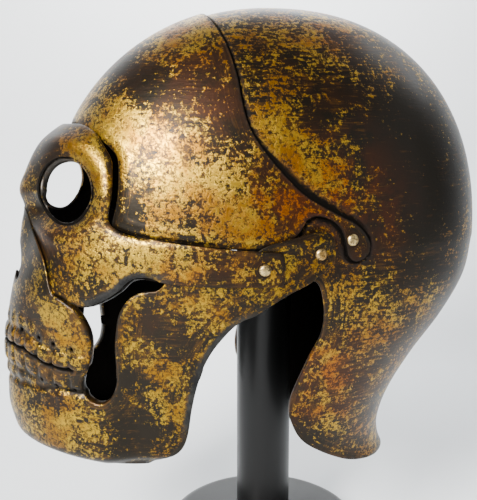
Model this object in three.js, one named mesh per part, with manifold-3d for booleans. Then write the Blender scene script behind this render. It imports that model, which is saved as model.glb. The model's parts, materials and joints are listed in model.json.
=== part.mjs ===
// A skull helmet with a hinged face, on a display stand of a post and a round base.
// Millimetres, +Z up, the face looks along -Y, the wearer's left is +X.
// The origin is the middle of the flat underside of the stand's base.
import * as THREE from 'three';
import { LoftGeometry } from 'three/addons/geometries/LoftGeometry.js';
import { mergeVertices } from 'three/addons/utils/BufferGeometryUtils.js';
import Module from 'manifold-3d';

const wasm = await Module();
wasm.setup();

// Sheet and fits
const SHEET = 1.5;
const GAP = 0.3;
const SWING_CLEARANCE = 1.8;
const LAP = SHEET + GAP;

// Skull, measured from the line between the two pivot rivets to the frontal plate's outer face
const CROWN_HEIGHT = 138.5;
const BROW_REACH = 138.5;
const REAR_REACH = 133;
const HALF_WIDTH = 87.5;
const NAPE_DROP = 144;
const PLAN_ROUNDNESS = 2.2;
const PROFILE_ROUNDNESS = 2.12;
const REAR_ROUNDNESS = 2.24;

// Face, measured from the same line to the mask's outer face
const FACE_PROJECTION = 25;
const JAW_DROP = 124;
const NOSE_RIDGE = 5;
const NOSE_RIDGE_WIDTH = 12;
const NOSE_HOLLOW_WIDTH = 38;
const FACE_REACH = BROW_REACH + FACE_PROJECTION;
const FACE_HALF_WIDTH = HALF_WIDTH + SWING_CLEARANCE + SHEET + LAP;

// Teeth and drilled holes
const TEETH_A_SIDE = 7;
const TOOTH_PITCH = 9.2;
const UPPER_TOOTH = 8.4;
const LOWER_TOOTH = 10.6;
const TOOTH_RELIEF = 1.4;
const TOOTH_ROOT = 0.9;
const BITE_GAP = 1.4;
const DRILL_RADIUS = 1.5;
const SPINE_LENGTH = 9;
const SPINE_RADIUS = 3.6;

// Rivets
const RIVET_HEAD_RADIUS = 3.3;
const RIVET_HEAD_HEIGHT = 2;
const RIVET_TAIL_HEIGHT = 1;
const RIVET_SHANK_RADIUS = 1.6;
const PIVOT_COLLAR_RADIUS = 5;

// Stand
const POST_AHEAD_OF_PIVOT = 4.7;
const POST_RADIUS = 17.5;
const BASE_RADIUS = 63;
const BASE_THICKNESS = 20;
const BASE_EDGE = 6;
const BASE_SOFTENING = 1.8;
const BASE_BELOW_PIVOT = 194;
const CAP_RADIUS = 46;
const CAP_DEPTH = 24;
const CAP_SEAT_RADIUS = 32;
const CAP_SLOPE = 9.6;

// Facets, and the small steps over which a normal is taken
const AROUND = 28;
const DOME_ROWS = 10;
const NAPE_ROWS = 6;
const FACE_AROUND = 26;
const FACE_ROWS = 14;
const CURVE_STEPS = 2;
const HOLE_SIDES = 8;
const EYE_SIDES = 18;
const RIVET_SIDES = 8;
const SPINE_SIDES = 6;
const ANGLE_STEP = 0.01;
const ROW_STEP = 0.005;
const LEVEL_STEP = 0.5;
const BEYOND = 200;

const PIVOT_HEIGHT = BASE_THICKNESS + BASE_BELOW_PIVOT;

// The nape guard below the pivots. down: share of NAPE_DROP; rear: share of REAR_REACH;
// half: share of HALF_WIDTH; middle: share of BROW_REACH that the section's middle lies forward.
const NAPE = [
  { down: 0.0, rear: 1.0, half: 1.0, middle: 0 },
  { down: 0.175, rear: 0.962, half: 0.985, middle: 0 },
  { down: 0.345, rear: 0.857, half: 0.925, middle: 0 },
  { down: 0.52, rear: 0.722, half: 0.835, middle: 0.01 },
  { down: 0.695, rear: 0.617, half: 0.755, middle: 0.022 },
  { down: 0.835, rear: 0.586, half: 0.697, middle: 0.036 },
  { down: 0.925, rear: 0.6, half: 0.675, middle: 0.043 },
  { down: 1.0, rear: 0.632, half: 0.685, middle: 0.043 },
];

// The face in level sections. up: share of CROWN_HEIGHT, or of JAW_DROP below the pivots;
// reach: share of FACE_REACH; half: share of FACE_HALF_WIDTH; round: the section's exponent.
const FACE = [
  { up: 0.534, reach: 0.742, half: 0.78, round: 2.2 },
  { up: 0.498, reach: 0.779, half: 0.795, round: 2.2 },
  { up: 0.433, reach: 0.838, half: 0.838, round: 2.2 },
  { up: 0.361, reach: 0.881, half: 0.861, round: 2.2 },
  { up: 0.289, reach: 0.911, half: 0.879, round: 2.2 },
  { up: 0.217, reach: 0.931, half: 0.898, round: 2.2 },
  { up: 0.144, reach: 0.916, half: 0.955, round: 2.0 },
  { up: 0.072, reach: 0.927, half: 1.0, round: 1.95 },
  { up: 0.0, reach: 0.936, half: 1.0, round: 2.0 },
  { up: -0.097, reach: 0.945, half: 1.0, round: 2.0 },
  { up: -0.2, reach: 0.966, half: 0.998, round: 1.95 },
  { up: -0.32, reach: 0.985, half: 0.98, round: 1.85 },
  { up: -0.48, reach: 1.0, half: 0.944, round: 1.75 },
  { up: -0.645, reach: 1.0, half: 0.89, round: 1.75 },
  { up: -0.79, reach: 0.99, half: 0.825, round: 1.85 },
  { up: -0.895, reach: 0.976, half: 0.79, round: 1.95 },
  { up: -0.96, reach: 0.948, half: 0.76, round: 2.0 },
  { up: -1.0, reach: 0.911, half: 0.72, round: 2.0 },
];

// Side outlines. Each row is [forward, up]: forward is a share of the reach that the outline
// is given, up a share of CROWN_HEIGHT, or of the given drop below the pivots. A third entry
// of 1 marks a corner, and the rows between two corners lie on one smooth curve.
const FRONTAL_PLATE = [
  [1.3, 0.49, 1], [0.875, 0.49, 1], [0.835, 0.47], [0.793, 0.427], [0.757, 0.392],
  [0.739, 0.36], [0.739, 0.294], [0.745, 0.227], [0.754, 0.18], [0.764, 0.138],
  [0.772, 0.112], [0.768, 0.1], [0.755, 0.092], [0.666, 0.062], [0.524, 0.043],
  [0.343, 0.023], [0.189, 0.027], [0.093, 0.063], [0.046, 0.126, 1], [0.01, 0.14],
  [-0.043, 0.127], [-0.087, 0.09], [-0.108, 0.036], [-0.119, -0.015], [-0.15, -0.048],
  [-0.195, -0.036], [-0.219, 0.0], [-0.214, 0.043], [-0.169, 0.1], [-0.085, 0.145],
  [0.036, 0.212], [0.113, 0.281], [0.203, 0.392], [0.253, 0.485], [0.27, 0.577],
  [0.277, 0.672], [0.295, 0.79], [0.323, 0.9], [0.335, 0.955, 1], [0.335, 1.2, 1], [1.3, 1.2, 1],
];
const MASK = [
  [1.2, 0.498, 1], [0.75, 0.498, 1], [0.73, 0.495], [0.704, 0.48], [0.683, 0.457],
  [0.671, 0.427], [0.655, 0.391], [0.643, 0.357], [0.641, 0.3], [0.647, 0.229],
  [0.654, 0.175], [0.66, 0.14], [0.655, 0.116], [0.64, 0.099], [0.6, 0.079], [0.5, 0.058],
  [0.42, 0.045], [0.296, 0.028], [0.187, 0.018], [0.14, 0.014], [0.125, 0.0],
  [0.12, -0.056], [0.124, -0.12], [0.142, -0.132], [0.265, -0.129], [0.404, -0.126],
  [0.501, -0.112], [0.56, -0.104], [0.6, -0.118], [0.632, -0.162], [0.685, -0.215],
  [0.735, -0.243], [0.775, -0.232], [0.81, -0.205, 1], [0.862, -0.17], [0.9, -0.05], [0.92, 0.03, 1],
  [1.2, 0.03, 1],
];
const JAW = [
  [1.2, 0.145, 1], [0.915, 0.145, 1], [0.905, 0.125], [0.887, 0.049], [0.858, -0.046],
  [0.838, -0.18], [0.815, -0.205], [0.768, -0.25], [0.733, -0.327], [0.721, -0.4],
  [0.727, -0.5], [0.748, -0.588], [0.742, -0.648], [0.715, -0.68], [0.684, -0.68],
  [0.66, -0.64], [0.646, -0.568], [0.651, -0.428], [0.647, -0.327], [0.637, -0.247],
  [0.61, -0.187], [0.569, -0.156], [0.524, -0.147], [0.499, -0.116, 1], [0.46, -0.03],
  [0.38, -0.02], [0.25, -0.01], [0.19, 0.03], [0.147, 0.049], [0.114, 0.058], [0.063, 0.076],
  [0.024, 0.089], [-0.005, 0.093], [-0.031, 0.083], [-0.045, 0.058], [-0.051, 0.02],
  [-0.052, -0.016], [-0.045, -0.046], [-0.018, -0.076], [0.013, -0.103], [0.037, -0.127],
  [0.099, -0.166], [0.163, -0.217], [0.211, -0.263], [0.255, -0.289], [0.29, -0.329],
  [0.336, -0.41], [0.365, -0.486], [0.379, -0.548], [0.393, -0.63], [0.404, -0.736],
  [0.412, -0.839], [0.432, -0.92], [0.476, -0.978], [0.535, -1.005], [0.6, -1.01],
  [0.7, -0.995], [0.8, -0.97], [0.889, -0.946], [0.94, -0.93], [1.0, -0.915, 1], [1.2, -0.915, 1],
];
// The dome's free edge runs down under the plate, round the pivot and along the nape guard.
const DOME = [
  [0.51, 1.2, 1], [0.51, 0.96, 1], [0.49, 0.86], [0.46, 0.72], [0.44, 0.6], [0.41, 0.49],
  [0.345, 0.36], [0.245, 0.245], [0.16, 0.145], [0.108, 0.045], [0.087, -0.04],
  [0.045, -0.095], [-0.005, -0.118], [-0.03, -0.182], [-0.041, -0.264], [-0.033, -0.347],
  [-0.002, -0.433], [0.028, -0.52], [0.056, -0.61], [0.06, -0.667], [0.05, -0.71],
  [-0.004, -0.807], [-0.105, -0.88], [-0.238, -0.942], [-0.355, -0.97], [-0.436, -0.98, 1],
  [-1.3, -0.98, 1], [-1.3, 1.2, 1],
];
// The eye hole seen from the side, middle and half sizes as shares of FACE_REACH
const EYE = { forward: 0.795, up: 0.233, halfLength: 0.079, halfHeight: 0.122, lean: 0.16 };
// The bite line between the teeth, seen from the side
const BITE = [
  [1.2, -0.462, 1], [0.945, -0.468], [0.9, -0.495], [0.866, -0.517], [0.81, -0.53], [0.775, -0.535, 1],
];
// Drilled holes in the gums: angle round the face in degrees, up as a share of JAW_DROP
const GUM_HOLES = [
  { angle: 15.5, up: -0.385 }, { angle: 24, up: -0.4 }, { angle: 29.3, up: -0.42 },
  { angle: 35.2, up: -0.435 }, { angle: 24.4, up: -0.6 }, { angle: 29.8, up: -0.62 },
  { angle: 35.5, up: -0.63 },
];
// The nose hole from the front: [across, up] as shares of FACE_HALF_WIDTH and JAW_DROP
const NOSE = [
  [0, 0.0, 1], [0.05, -0.03], [0.1, -0.1], [0.125, -0.15], [0.1, -0.178], [0.04, -0.165],
  [0, -0.14, 1], [-0.04, -0.165], [-0.1, -0.178], [-0.125, -0.15], [-0.1, -0.1], [-0.05, -0.03],
];

const heightOf = (up, drop) => up * (up >= 0 ? CROWN_HEIGHT : drop);

// A value on the smooth curve through the points (xs, ys), xs falling or rising
function through(xs, ys, x) {
  const turn = xs[0] > xs[xs.length - 1] ? -1 : 1;
  const at = Math.min(Math.max(x * turn, xs[0] * turn), xs[xs.length - 1] * turn);
  let i = 0;
  while (i < xs.length - 2 && at > xs[i + 1] * turn) i += 1;
  const slope = (k) => {
    const lo = Math.max(k - 1, 0);
    const hi = Math.min(k + 1, xs.length - 1);
    return (ys[hi] - ys[lo]) / ((xs[hi] - xs[lo]) * turn);
  };
  const span = (xs[i + 1] - xs[i]) * turn;
  const t = (at - xs[i] * turn) / span;
  const t2 = t * t;
  const t3 = t2 * t;
  return (2 * t3 - 3 * t2 + 1) * ys[i] + (t3 - 2 * t2 + t) * span * slope(i)
    + (3 * t2 - 2 * t3) * ys[i + 1] + (t3 - t2) * span * slope(i + 1);
}

// How far a superellipse of half sizes 1 reaches at an angle
function reachAt(angle, exponent) {
  const sum = Math.abs(Math.cos(angle)) ** exponent + Math.abs(Math.sin(angle)) ** exponent;
  return sum ** (-1 / exponent);
}

// The skull's outer face. angle: round from the front; v: 0 at the crown, 1 at the pivots,
// 2 at the nape guard's edge. Points are [across, forward, up] from the pivot line.
function skull(angle, v) {
  const polar = Math.min(v, 1) * Math.PI / 2;
  const high = Math.cos(polar) ** (2 / PROFILE_ROUNDNESS);
  const rearward = Math.max(-Math.cos(angle), 0) ** 2;
  const round = PROFILE_ROUNDNESS + (REAR_ROUNDNESS - PROFILE_ROUNDNESS) * rearward;
  const k = (1 - high ** round) ** (1 / round);
  const down = Math.max(v - 1, 0);
  const column = (name) => through(NAPE.map((row) => row.down), NAPE.map((row) => row[name]), down);
  const up = v > 1 ? -down * NAPE_DROP : CROWN_HEIGHT * high;
  const r = k * reachAt(angle, PLAN_ROUNDNESS);
  const lengthways = Math.cos(angle) > 0 ? BROW_REACH : REAR_REACH * column('rear');
  return [
    HALF_WIDTH * column('half') * r * Math.sin(angle),
    BROW_REACH * column('middle') + lengthways * r * Math.cos(angle),
    up,
  ];
}

const FACE_UPS = FACE.map((row) => heightOf(row.up, JAW_DROP));

// The mask's outer face. angle: round from the front; up: height above the pivots.
// Beside the nose it sinks by NOSE_RIDGE, so that the nose stands as a ridge.
function face(angle, up) {
  const column = (name) => through(FACE_UPS, FACE.map((row) => row[name]), up);
  const r = reachAt(angle, column('round'));
  const across = FACE_HALF_WIDTH * column('half') * r * Math.sin(angle);
  const forward = FACE_REACH * column('reach') * r * Math.cos(angle);
  const ridge = 1 - Math.exp(-((across / NOSE_RIDGE_WIDTH) ** 2));
  const fade = Math.exp(-((across / NOSE_HOLLOW_WIDTH) ** 4));
  const level = Math.exp(-(((up - 0.13 * CROWN_HEIGHT) / (0.22 * CROWN_HEIGHT)) ** 2));
  const sink = Math.cos(angle) > 0 ? NOSE_RIDGE * ridge * fade * level : 0;
  return [across, forward - sink, up];
}

const place = (point) => new THREE.Vector3(point[0], -point[1], point[2]);

// A point of a surface and its outward normal
function frameAt(surface, angle, v, step) {
  const point = place(surface(angle, v));
  const along = place(surface(angle + ANGLE_STEP, v)).sub(place(surface(angle - ANGLE_STEP, v)));
  const down = place(surface(angle, v + step)).sub(place(surface(angle, v - step)));
  const normal = along.cross(down).normalize();
  if (normal.dot(new THREE.Vector3(point.x, point.y, 0)) < 0) normal.negate();
  return { point, normal };
}

// A closed mesh as a solid for joining and cutting
function solid(geometry) {
  const bare = new THREE.BufferGeometry();
  bare.setAttribute('position', geometry.attributes.position);
  bare.setIndex(geometry.index);
  const merged = mergeVertices(bare, 1e-4);
  return new wasm.Manifold(new wasm.Mesh({
    numProp: 3,
    vertProperties: Float32Array.from(merged.attributes.position.array),
    triVerts: Uint32Array.from(merged.index.array),
  }));
}

// The piece's own body as a geometry, without the crumbs that a cut can leave
function geometryOf(body) {
  const [main] = body.decompose().sort((a, b) => b.volume() - a.volume());
  const mesh = main.getMesh();
  const geometry = new THREE.BufferGeometry();
  geometry.setAttribute('position', new THREE.BufferAttribute(mesh.vertProperties, 3));
  geometry.setIndex(new THREE.BufferAttribute(mesh.triVerts, 1));
  geometry.computeVertexNormals();
  return geometry;
}

// A solid filled up to a surface moved by offset(point) along its normal. The rows run from the
// lowest to the highest, and an open end is carried on by BEYOND so that it cuts right through.
function filled(surface, angles, rows, step, offset, openBelow, openAbove) {
  const sections = rows.map((v) => angles.map((angle) => {
    const { point, normal } = frameAt(surface, angle, v, step);
    return point.addScaledVector(normal, offset(point));
  }));
  const carried = (section, by) => section.map((point) => point.clone().setZ(point.z + by));
  if (openBelow) sections.unshift(carried(sections[0], -BEYOND));
  if (openAbove) sections.push(carried(sections[sections.length - 1], BEYOND));
  return solid(new LoftGeometry(sections, { capStart: true, capEnd: true }));
}

const evenly = (count, from, to) => Array.from({ length: count + 1 }, (_, i) => from + (to - from) * i / count);

const SKULL_ANGLES = evenly(AROUND, 0, 2 * Math.PI).slice(0, AROUND);
const SKULL_ROWS = [
  ...evenly(NAPE_ROWS, 2, 1), ...evenly(DOME_ROWS, 1, 0).slice(1, -1), 0.02,
];
const skullFilled = (offset, open) => filled(skull, SKULL_ANGLES, SKULL_ROWS, ROW_STEP, () => offset, open, false);

const FACE_TURN = evenly(FACE_AROUND, -1.75, 1.75);
const FACE_ANGLES = [...FACE_TURN, 2.2, Math.PI, -2.2];
const FACE_LEVELS = evenly(FACE_ROWS, FACE_UPS[FACE_UPS.length - 1], FACE_UPS[0]);
const faceFilled = (offset, open) => filled(face, FACE_ANGLES, FACE_LEVELS, LEVEL_STEP, offset, open, open);

// A flat outline through rows of [x, y, corner]
function shapeOf(rows) {
  const points = rows.map((row) => new THREE.Vector2(row[0], row[1]));
  const shape = new THREE.Shape();
  shape.moveTo(points[0].x, points[0].y);
  let run = [];
  for (let i = 1; i <= rows.length; i += 1) {
    const k = i % rows.length;
    run.push(points[k]);
    const corner = rows[k][2] === 1;
    if (corner && run.length === 1) shape.lineTo(points[k].x, points[k].y);
    if (corner && run.length > 1) shape.splineThru(run);
    if (corner) run = [];
  }
  return shape;
}

const sideRows = (rows, reach, drop) => rows.map(
  ([forward, up, corner]) => [forward * reach, heightOf(up, drop), corner],
);

// A prism right across the helmet from an outline seen from the side
function sidePrism(shape) {
  const geometry = new THREE.ExtrudeGeometry(shape, {
    depth: 2 * BEYOND, bevelEnabled: false, curveSegments: CURVE_STEPS,
  });
  const turn = new THREE.Matrix4().makeBasis(
    new THREE.Vector3(0, -1, 0), new THREE.Vector3(0, 0, 1), new THREE.Vector3(-1, 0, 0),
  );
  geometry.applyMatrix4(turn.setPosition(BEYOND, 0, 0));
  return solid(geometry);
}

// A prism from the pivots forward from an outline seen from the front
function frontPrism(shape) {
  const geometry = new THREE.ExtrudeGeometry(shape, {
    depth: BEYOND, bevelEnabled: false, curveSegments: CURVE_STEPS,
  });
  const turn = new THREE.Matrix4().makeBasis(
    new THREE.Vector3(1, 0, 0), new THREE.Vector3(0, 0, 1), new THREE.Vector3(0, -1, 0),
  );
  geometry.applyMatrix4(turn);
  return solid(geometry);
}

// A turned piece along a normal, its profile given as [radius, height] rows
function turned(profile, sides, point, normal) {
  const rows = profile.map(([radius, height]) => new THREE.Vector2(radius, height));
  const geometry = new THREE.LatheGeometry(rows, sides);
  const turn = new THREE.Quaternion().setFromUnitVectors(new THREE.Vector3(0, 1, 0), normal);
  geometry.applyQuaternion(turn);
  geometry.translate(point.x, point.y, point.z);
  return geometry;
}

const drill = (radius, point, normal, reach) => solid(
  turned([[0, -reach], [radius, -reach], [radius, reach], [0, reach]], HOLE_SIDES, point, normal),
);

const SIDES = [1, -1];

// Where the rivets sit: [forward, up] from the pivots
const STRAP_RIVET = [0.187 * FACE_REACH, -0.056 * JAW_DROP];
const PLATE_RIVET = [-0.14 * BROW_REACH, 0.05 * CROWN_HEIGHT];
const RIVET_HOLE = RIVET_SHANK_RADIUS + GAP;

// The same surface as its facets lie, which is a little inside the true one
function faceted(surface, angles, rows) {
  const cell = (values, x) => {
    const start = values.findLastIndex((value, i) => i < values.length - 1 && value <= x);
    const k = Math.max(start, 0);
    return [values[k], values[k + 1], (x - values[k]) / (values[k + 1] - values[k])];
  };
  const mix = (p, q, t) => p.map((value, i) => value + (q[i] - value) * t);
  return (angle, v) => {
    const [a0, a1, s] = cell(angles, angle);
    const [v0, v1, t] = cell(rows, v);
    return mix(mix(surface(a0, v0), surface(a1, v0), s), mix(surface(a0, v1), surface(a1, v1), s), t);
  };
}

// The frame of a surface at a given forward and up on one side, found by bisection on the angle
function seatAt(surface, [forward, up], side, rowOf, step) {
  let low = 0.3;
  let high = 2.6;
  for (let i = 0; i < 40; i += 1) {
    const middle = (low + high) / 2;
    if (surface(middle, rowOf(up))[1] > forward) low = middle;
    else high = middle;
  }
  const seat = frameAt(surface, low, rowOf(up), step);
  seat.point.x *= side;
  seat.normal.x *= side;
  return seat;
}

const skullRow = (up) => Math.acos((up / CROWN_HEIGHT) ** (PROFILE_ROUNDNESS / 2)) / (Math.PI / 2);
const faceFacets = faceted(face, FACE_TURN, FACE_LEVELS);
const skullFacets = faceted(skull, SKULL_ANGLES, evenly(DOME_ROWS, 0, 1));
const strapSeat = (side) => seatAt(faceFacets, STRAP_RIVET, side, (up) => up, LEVEL_STEP);
const plateSeat = (side) => seatAt(skullFacets, PLATE_RIVET, side, skullRow, ROW_STEP);
// How far out the outer face of the jaw's tab lies at the pivots
const TAB_FACE = seatAt(faceFacets, [0, 0], 1, (up) => up, LEVEL_STEP).point.x - LAP;

// Dome: bowl and nape guard in one sheet, a lap inside the frontal plate
function domeBody() {
  const sheet = skullFilled(-LAP, false).subtract(skullFilled(-LAP - SHEET, true));
  let body = sheet.intersect(sidePrism(shapeOf(sideRows(DOME, BROW_REACH, NAPE_DROP))));
  for (const side of SIDES) {
    const pivot = new THREE.Vector3(side * HALF_WIDTH, 0, 0);
    const plate = plateSeat(side);
    body = body.subtract(drill(RIVET_HOLE, pivot, new THREE.Vector3(side, 0, 0), 2 * LAP + SHEET));
    body = body.subtract(drill(RIVET_HOLE, plate.point, plate.normal, 2 * LAP + SHEET));
  }
  return body;
}

function frontalBody() {
  const sheet = skullFilled(0, false).subtract(skullFilled(-SHEET, true));
  let body = sheet.intersect(sidePrism(shapeOf(sideRows(FRONTAL_PLATE, BROW_REACH, JAW_DROP))));
  for (const side of SIDES) {
    const plate = plateSeat(side);
    body = body.subtract(drill(RIVET_HOLE, plate.point, plate.normal, 2 * LAP));
  }
  return body;
}

// Eye hole: an ellipse that leans with the brow
function eyeShape() {
  const ring = new THREE.EllipseCurve(
    EYE.forward * FACE_REACH, EYE.up * CROWN_HEIGHT,
    EYE.halfLength * FACE_REACH, EYE.halfHeight * CROWN_HEIGHT,
    0, 2 * Math.PI, false, EYE.lean,
  );
  return new THREE.Shape(ring.getPoints(EYE_SIDES).slice(0, EYE_SIDES));
}

function maskBody() {
  const sheet = faceFilled(() => 0, false).subtract(faceFilled(() => -SHEET, true));
  let body = sheet.intersect(sidePrism(shapeOf(sideRows(MASK, FACE_REACH, JAW_DROP))));
  body = body.subtract(sidePrism(eyeShape()));
  for (const side of SIDES) {
    const seat = strapSeat(side);
    body = body.subtract(drill(RIVET_HOLE, seat.point, seat.normal, 2 * LAP));
  }
  return body;
}

// The jaw lies a lap outside the mask at the cheek and a lap inside the strap at the ramus
function jawLap(point) {
  const t = THREE.MathUtils.smoothstep(-point.y, 0.56 * FACE_REACH, 0.69 * FACE_REACH);
  return LAP * (2 * t - 1);
}

// The jaw's own outer face
const jawFrame = (angle, up) => {
  const seat = frameAt(face, angle, up, LEVEL_STEP);
  seat.point.addScaledVector(seat.normal, jawLap(seat.point));
  return seat;
};

// One tooth: a four-sided block with sloping sides, TOOTH_RELIEF proud of the jaw
function tooth(angle, up, halfWidth, height) {
  const seat = jawFrame(angle, up);
  const block = new THREE.CylinderGeometry(0.78 * Math.SQRT2, Math.SQRT2, TOOTH_RELIEF + TOOTH_ROOT, 4);
  block.rotateY(Math.PI / 4);
  block.scale(halfWidth, 1, height / 2);
  block.translate(0, (TOOTH_RELIEF - TOOTH_ROOT) / 2, 0);
  const across = new THREE.Vector3(-seat.normal.y, seat.normal.x, 0).normalize();
  const rise = across.clone().cross(seat.normal);
  block.applyMatrix4(new THREE.Matrix4().makeBasis(across, seat.normal, rise));
  block.translate(seat.point.x, seat.point.y, seat.point.z);
  return solid(block);
}

const biteAt = (forward) => {
  const rows = sideRows(BITE, FACE_REACH, JAW_DROP);
  return through(rows.map((row) => row[0]), rows.map((row) => row[1]), forward);
};

// Two rows of teeth that grow wider towards the cheeks, above and below the bite
function teeth() {
  const bodies = [];
  const step = TOOTH_PITCH / FACE_HALF_WIDTH;
  const level = BITE[0][1] * JAW_DROP;
  const pointAt = (angle) => frameAt(face, angle, level, LEVEL_STEP).point;
  for (const side of SIDES) {
    for (let i = 0; i < TEETH_A_SIDE; i += 1) {
      const angle = side * step * (i + 0.5);
      const bite = biteAt(-pointAt(angle).y);
      const halfWidth = 0.43 * pointAt(angle - step / 2).distanceTo(pointAt(angle + step / 2));
      const upper = bite + (UPPER_TOOTH + BITE_GAP) / 2;
      const lower = bite - (LOWER_TOOTH + BITE_GAP) / 2;
      bodies.push(tooth(angle, upper, halfWidth, UPPER_TOOTH), tooth(angle, lower, halfWidth, LOWER_TOOTH));
    }
  }
  return bodies;
}

// The bite gap: a thin band along the bite line
function biteGap() {
  const rows = sideRows(BITE, FACE_REACH, JAW_DROP);
  const upper = rows.map(([forward, up, corner]) => [forward, up + BITE_GAP / 2, corner]);
  const lower = rows.map(([forward, up, corner]) => [forward, up - BITE_GAP / 2, corner]).reverse();
  return sidePrism(shapeOf([...upper, ...lower]));
}

// The sharp spine at the bottom of the nose hole
function noseSpine() {
  const up = -0.15 * JAW_DROP;
  const spine = new THREE.ConeGeometry(SPINE_RADIUS, SPINE_LENGTH, SPINE_SIDES);
  spine.rotateX(0.45);
  spine.translate(0, jawFrame(0, up).point.y, up + 0.15 * SPINE_LENGTH);
  return solid(spine);
}

function jawBody() {
  const sheet = faceFilled(jawLap, true).subtract(faceFilled((point) => jawLap(point) - SHEET, true));
  let body = wasm.Manifold.union([sheet, ...teeth()]);
  // what the teeth fill inside the sheet is taken out again
  body = body.subtract(faceFilled((point) => jawLap(point) - SHEET, true));
  body = body.intersect(sidePrism(shapeOf(sideRows(JAW, FACE_REACH, JAW_DROP))));
  body = body.subtract(biteGap());
  const nose = NOSE.map(([across, up, corner]) => [across * FACE_HALF_WIDTH, up * JAW_DROP, corner]);
  body = body.subtract(frontPrism(shapeOf(nose)));
  body = body.add(noseSpine());
  for (const side of SIDES) {
    for (const hole of GUM_HOLES) {
      const seat = jawFrame(side * THREE.MathUtils.degToRad(hole.angle), hole.up * JAW_DROP);
      body = body.subtract(drill(DRILL_RADIUS, seat.point, seat.normal, 2 * SHEET + TOOTH_RELIEF));
    }
    const strap = strapSeat(side);
    const pivot = new THREE.Vector3(side * FACE_HALF_WIDTH, 0, 0);
    body = body.subtract(drill(RIVET_HOLE, strap.point, strap.normal, 2 * LAP + SHEET));
    body = body.subtract(drill(RIVET_HOLE, pivot, new THREE.Vector3(side, 0, 0), 2 * LAP + SHEET));
  }
  return body;
}

// A rivet's domed head as [radius, height] rows, a gap above the sheet
const RIVET_HEAD = [[1, 0], [0.8, 0.7], [0.4, 0.95], [0, 1]].map(
  ([radius, height]) => [radius * RIVET_HEAD_RADIUS, GAP + height * RIVET_HEAD_HEIGHT],
);

// A rivet that holds sheets together: the shank ends inside them, or in a flat head behind them
function rivetProfile(grip, headed) {
  const bottom = -grip - RIVET_TAIL_HEIGHT;
  const radius = 0.8 * RIVET_HEAD_RADIUS;
  const tail = headed ? [[0, bottom], [radius, bottom], [radius, -grip]] : [[0, -grip]];
  return [...tail, [RIVET_SHANK_RADIUS, -grip], [RIVET_SHANK_RADIUS, GAP], ...RIVET_HEAD];
}

// The pivot rivet has a collar that holds the jaw's tab off the dome
function pivotProfile() {
  const tabInner = -SHEET - GAP;
  const domeOuter = HALF_WIDTH - LAP - TAB_FACE + GAP;
  const bottom = domeOuter - SHEET - 2 * GAP;
  const tailEnd = bottom - RIVET_TAIL_HEIGHT;
  return [[0, tailEnd], [RIVET_HEAD_RADIUS, tailEnd], [RIVET_HEAD_RADIUS, bottom],
    [RIVET_SHANK_RADIUS, bottom], [RIVET_SHANK_RADIUS, domeOuter], [PIVOT_COLLAR_RADIUS, domeOuter],
    [PIVOT_COLLAR_RADIUS, tabInner], [RIVET_SHANK_RADIUS, tabInner], [RIVET_SHANK_RADIUS, GAP],
    ...RIVET_HEAD];
}

// A piece turned about the upright axis, its profile given as [radius, height] rows
function lathed(rows) {
  const geometry = new THREE.LatheGeometry(rows.map(([r, z]) => new THREE.Vector2(r, z)), AROUND);
  geometry.rotateX(Math.PI / 2);
  return geometry;
}

// The cap on the post carries the dome: its top follows the dome's inner face
function capBody() {
  const bottom = CROWN_HEIGHT - LAP - SHEET - CAP_DEPTH;
  const block = lathed([
    [0, bottom], [CAP_SEAT_RADIUS, bottom], [CAP_RADIUS, bottom + CAP_SLOPE],
    [CAP_RADIUS, CROWN_HEIGHT], [0, CROWN_HEIGHT],
  ]);
  block.translate(0, -POST_AHEAD_OF_PIVOT, 0);
  return solid(block).intersect(skullFilled(-LAP - SHEET - GAP, false));
}

const brass = (color, roughness) => new THREE.MeshStandardMaterial({ color, roughness, metalness: 0.9 });
const wood = () => new THREE.MeshStandardMaterial({ color: 0x17181a, roughness: 0.45, metalness: 0 });

function mesh(name, geometry, material) {
  const piece = new THREE.Mesh(geometry, material);
  piece.name = name;
  return piece;
}

const group = new THREE.Group();

// Helmet, built round the pivot line
const helmet = new THREE.Group();
helmet.position.set(0, POST_AHEAD_OF_PIVOT, PIVOT_HEIGHT);
group.add(helmet);
helmet.add(mesh('skull_dome', geometryOf(domeBody()), brass(0x5c4420, 0.4)));
helmet.add(mesh('frontal_plate', geometryOf(frontalBody()), brass(0xa88c48, 0.35)));
helmet.add(mesh('face_mask', geometryOf(maskBody()), brass(0x9a7c3c, 0.35)));
helmet.add(mesh('jaw_plate', geometryOf(jawBody()), brass(0x8a6c30, 0.4)));
for (const side of SIDES) {
  const hand = side > 0 ? 'left' : 'right';
  const pieces = [
    ['strap_rivet', rivetProfile(LAP + SHEET, false), strapSeat(side)],
    ['plate_rivet', rivetProfile(LAP + SHEET + GAP, true), plateSeat(side)],
    ['pivot_rivet', pivotProfile(), {
      point: new THREE.Vector3(side * TAB_FACE, 0, 0), normal: new THREE.Vector3(side, 0, 0),
    }],
  ];
  for (const [name, profile, seat] of pieces) {
    const geometry = turned(profile, RIVET_SIDES, seat.point, seat.normal);
    helmet.add(mesh(`${name}_${hand}`, geometry, brass(0xc9b071, 0.3)));
  }
}

// Stand
const postTop = PIVOT_HEIGHT + CROWN_HEIGHT - LAP - SHEET - CAP_DEPTH - GAP;
helmet.add(mesh('stand_cap', geometryOf(capBody()), wood()));
group.add(mesh('stand_post', lathed([
  [0, BASE_THICKNESS + GAP], [POST_RADIUS, BASE_THICKNESS + GAP], [POST_RADIUS, postTop], [0, postTop],
]), wood()));
group.add(mesh('stand_base', lathed([
  [0, 0], [BASE_RADIUS - BASE_SOFTENING, 0], [BASE_RADIUS, BASE_SOFTENING],
  [BASE_RADIUS, BASE_THICKNESS - BASE_EDGE],
  [BASE_RADIUS - BASE_SOFTENING, BASE_THICKNESS - BASE_SOFTENING],
  [BASE_RADIUS - BASE_EDGE, BASE_THICKNESS], [0, BASE_THICKNESS],
]), wood()));

export default group;
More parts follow.
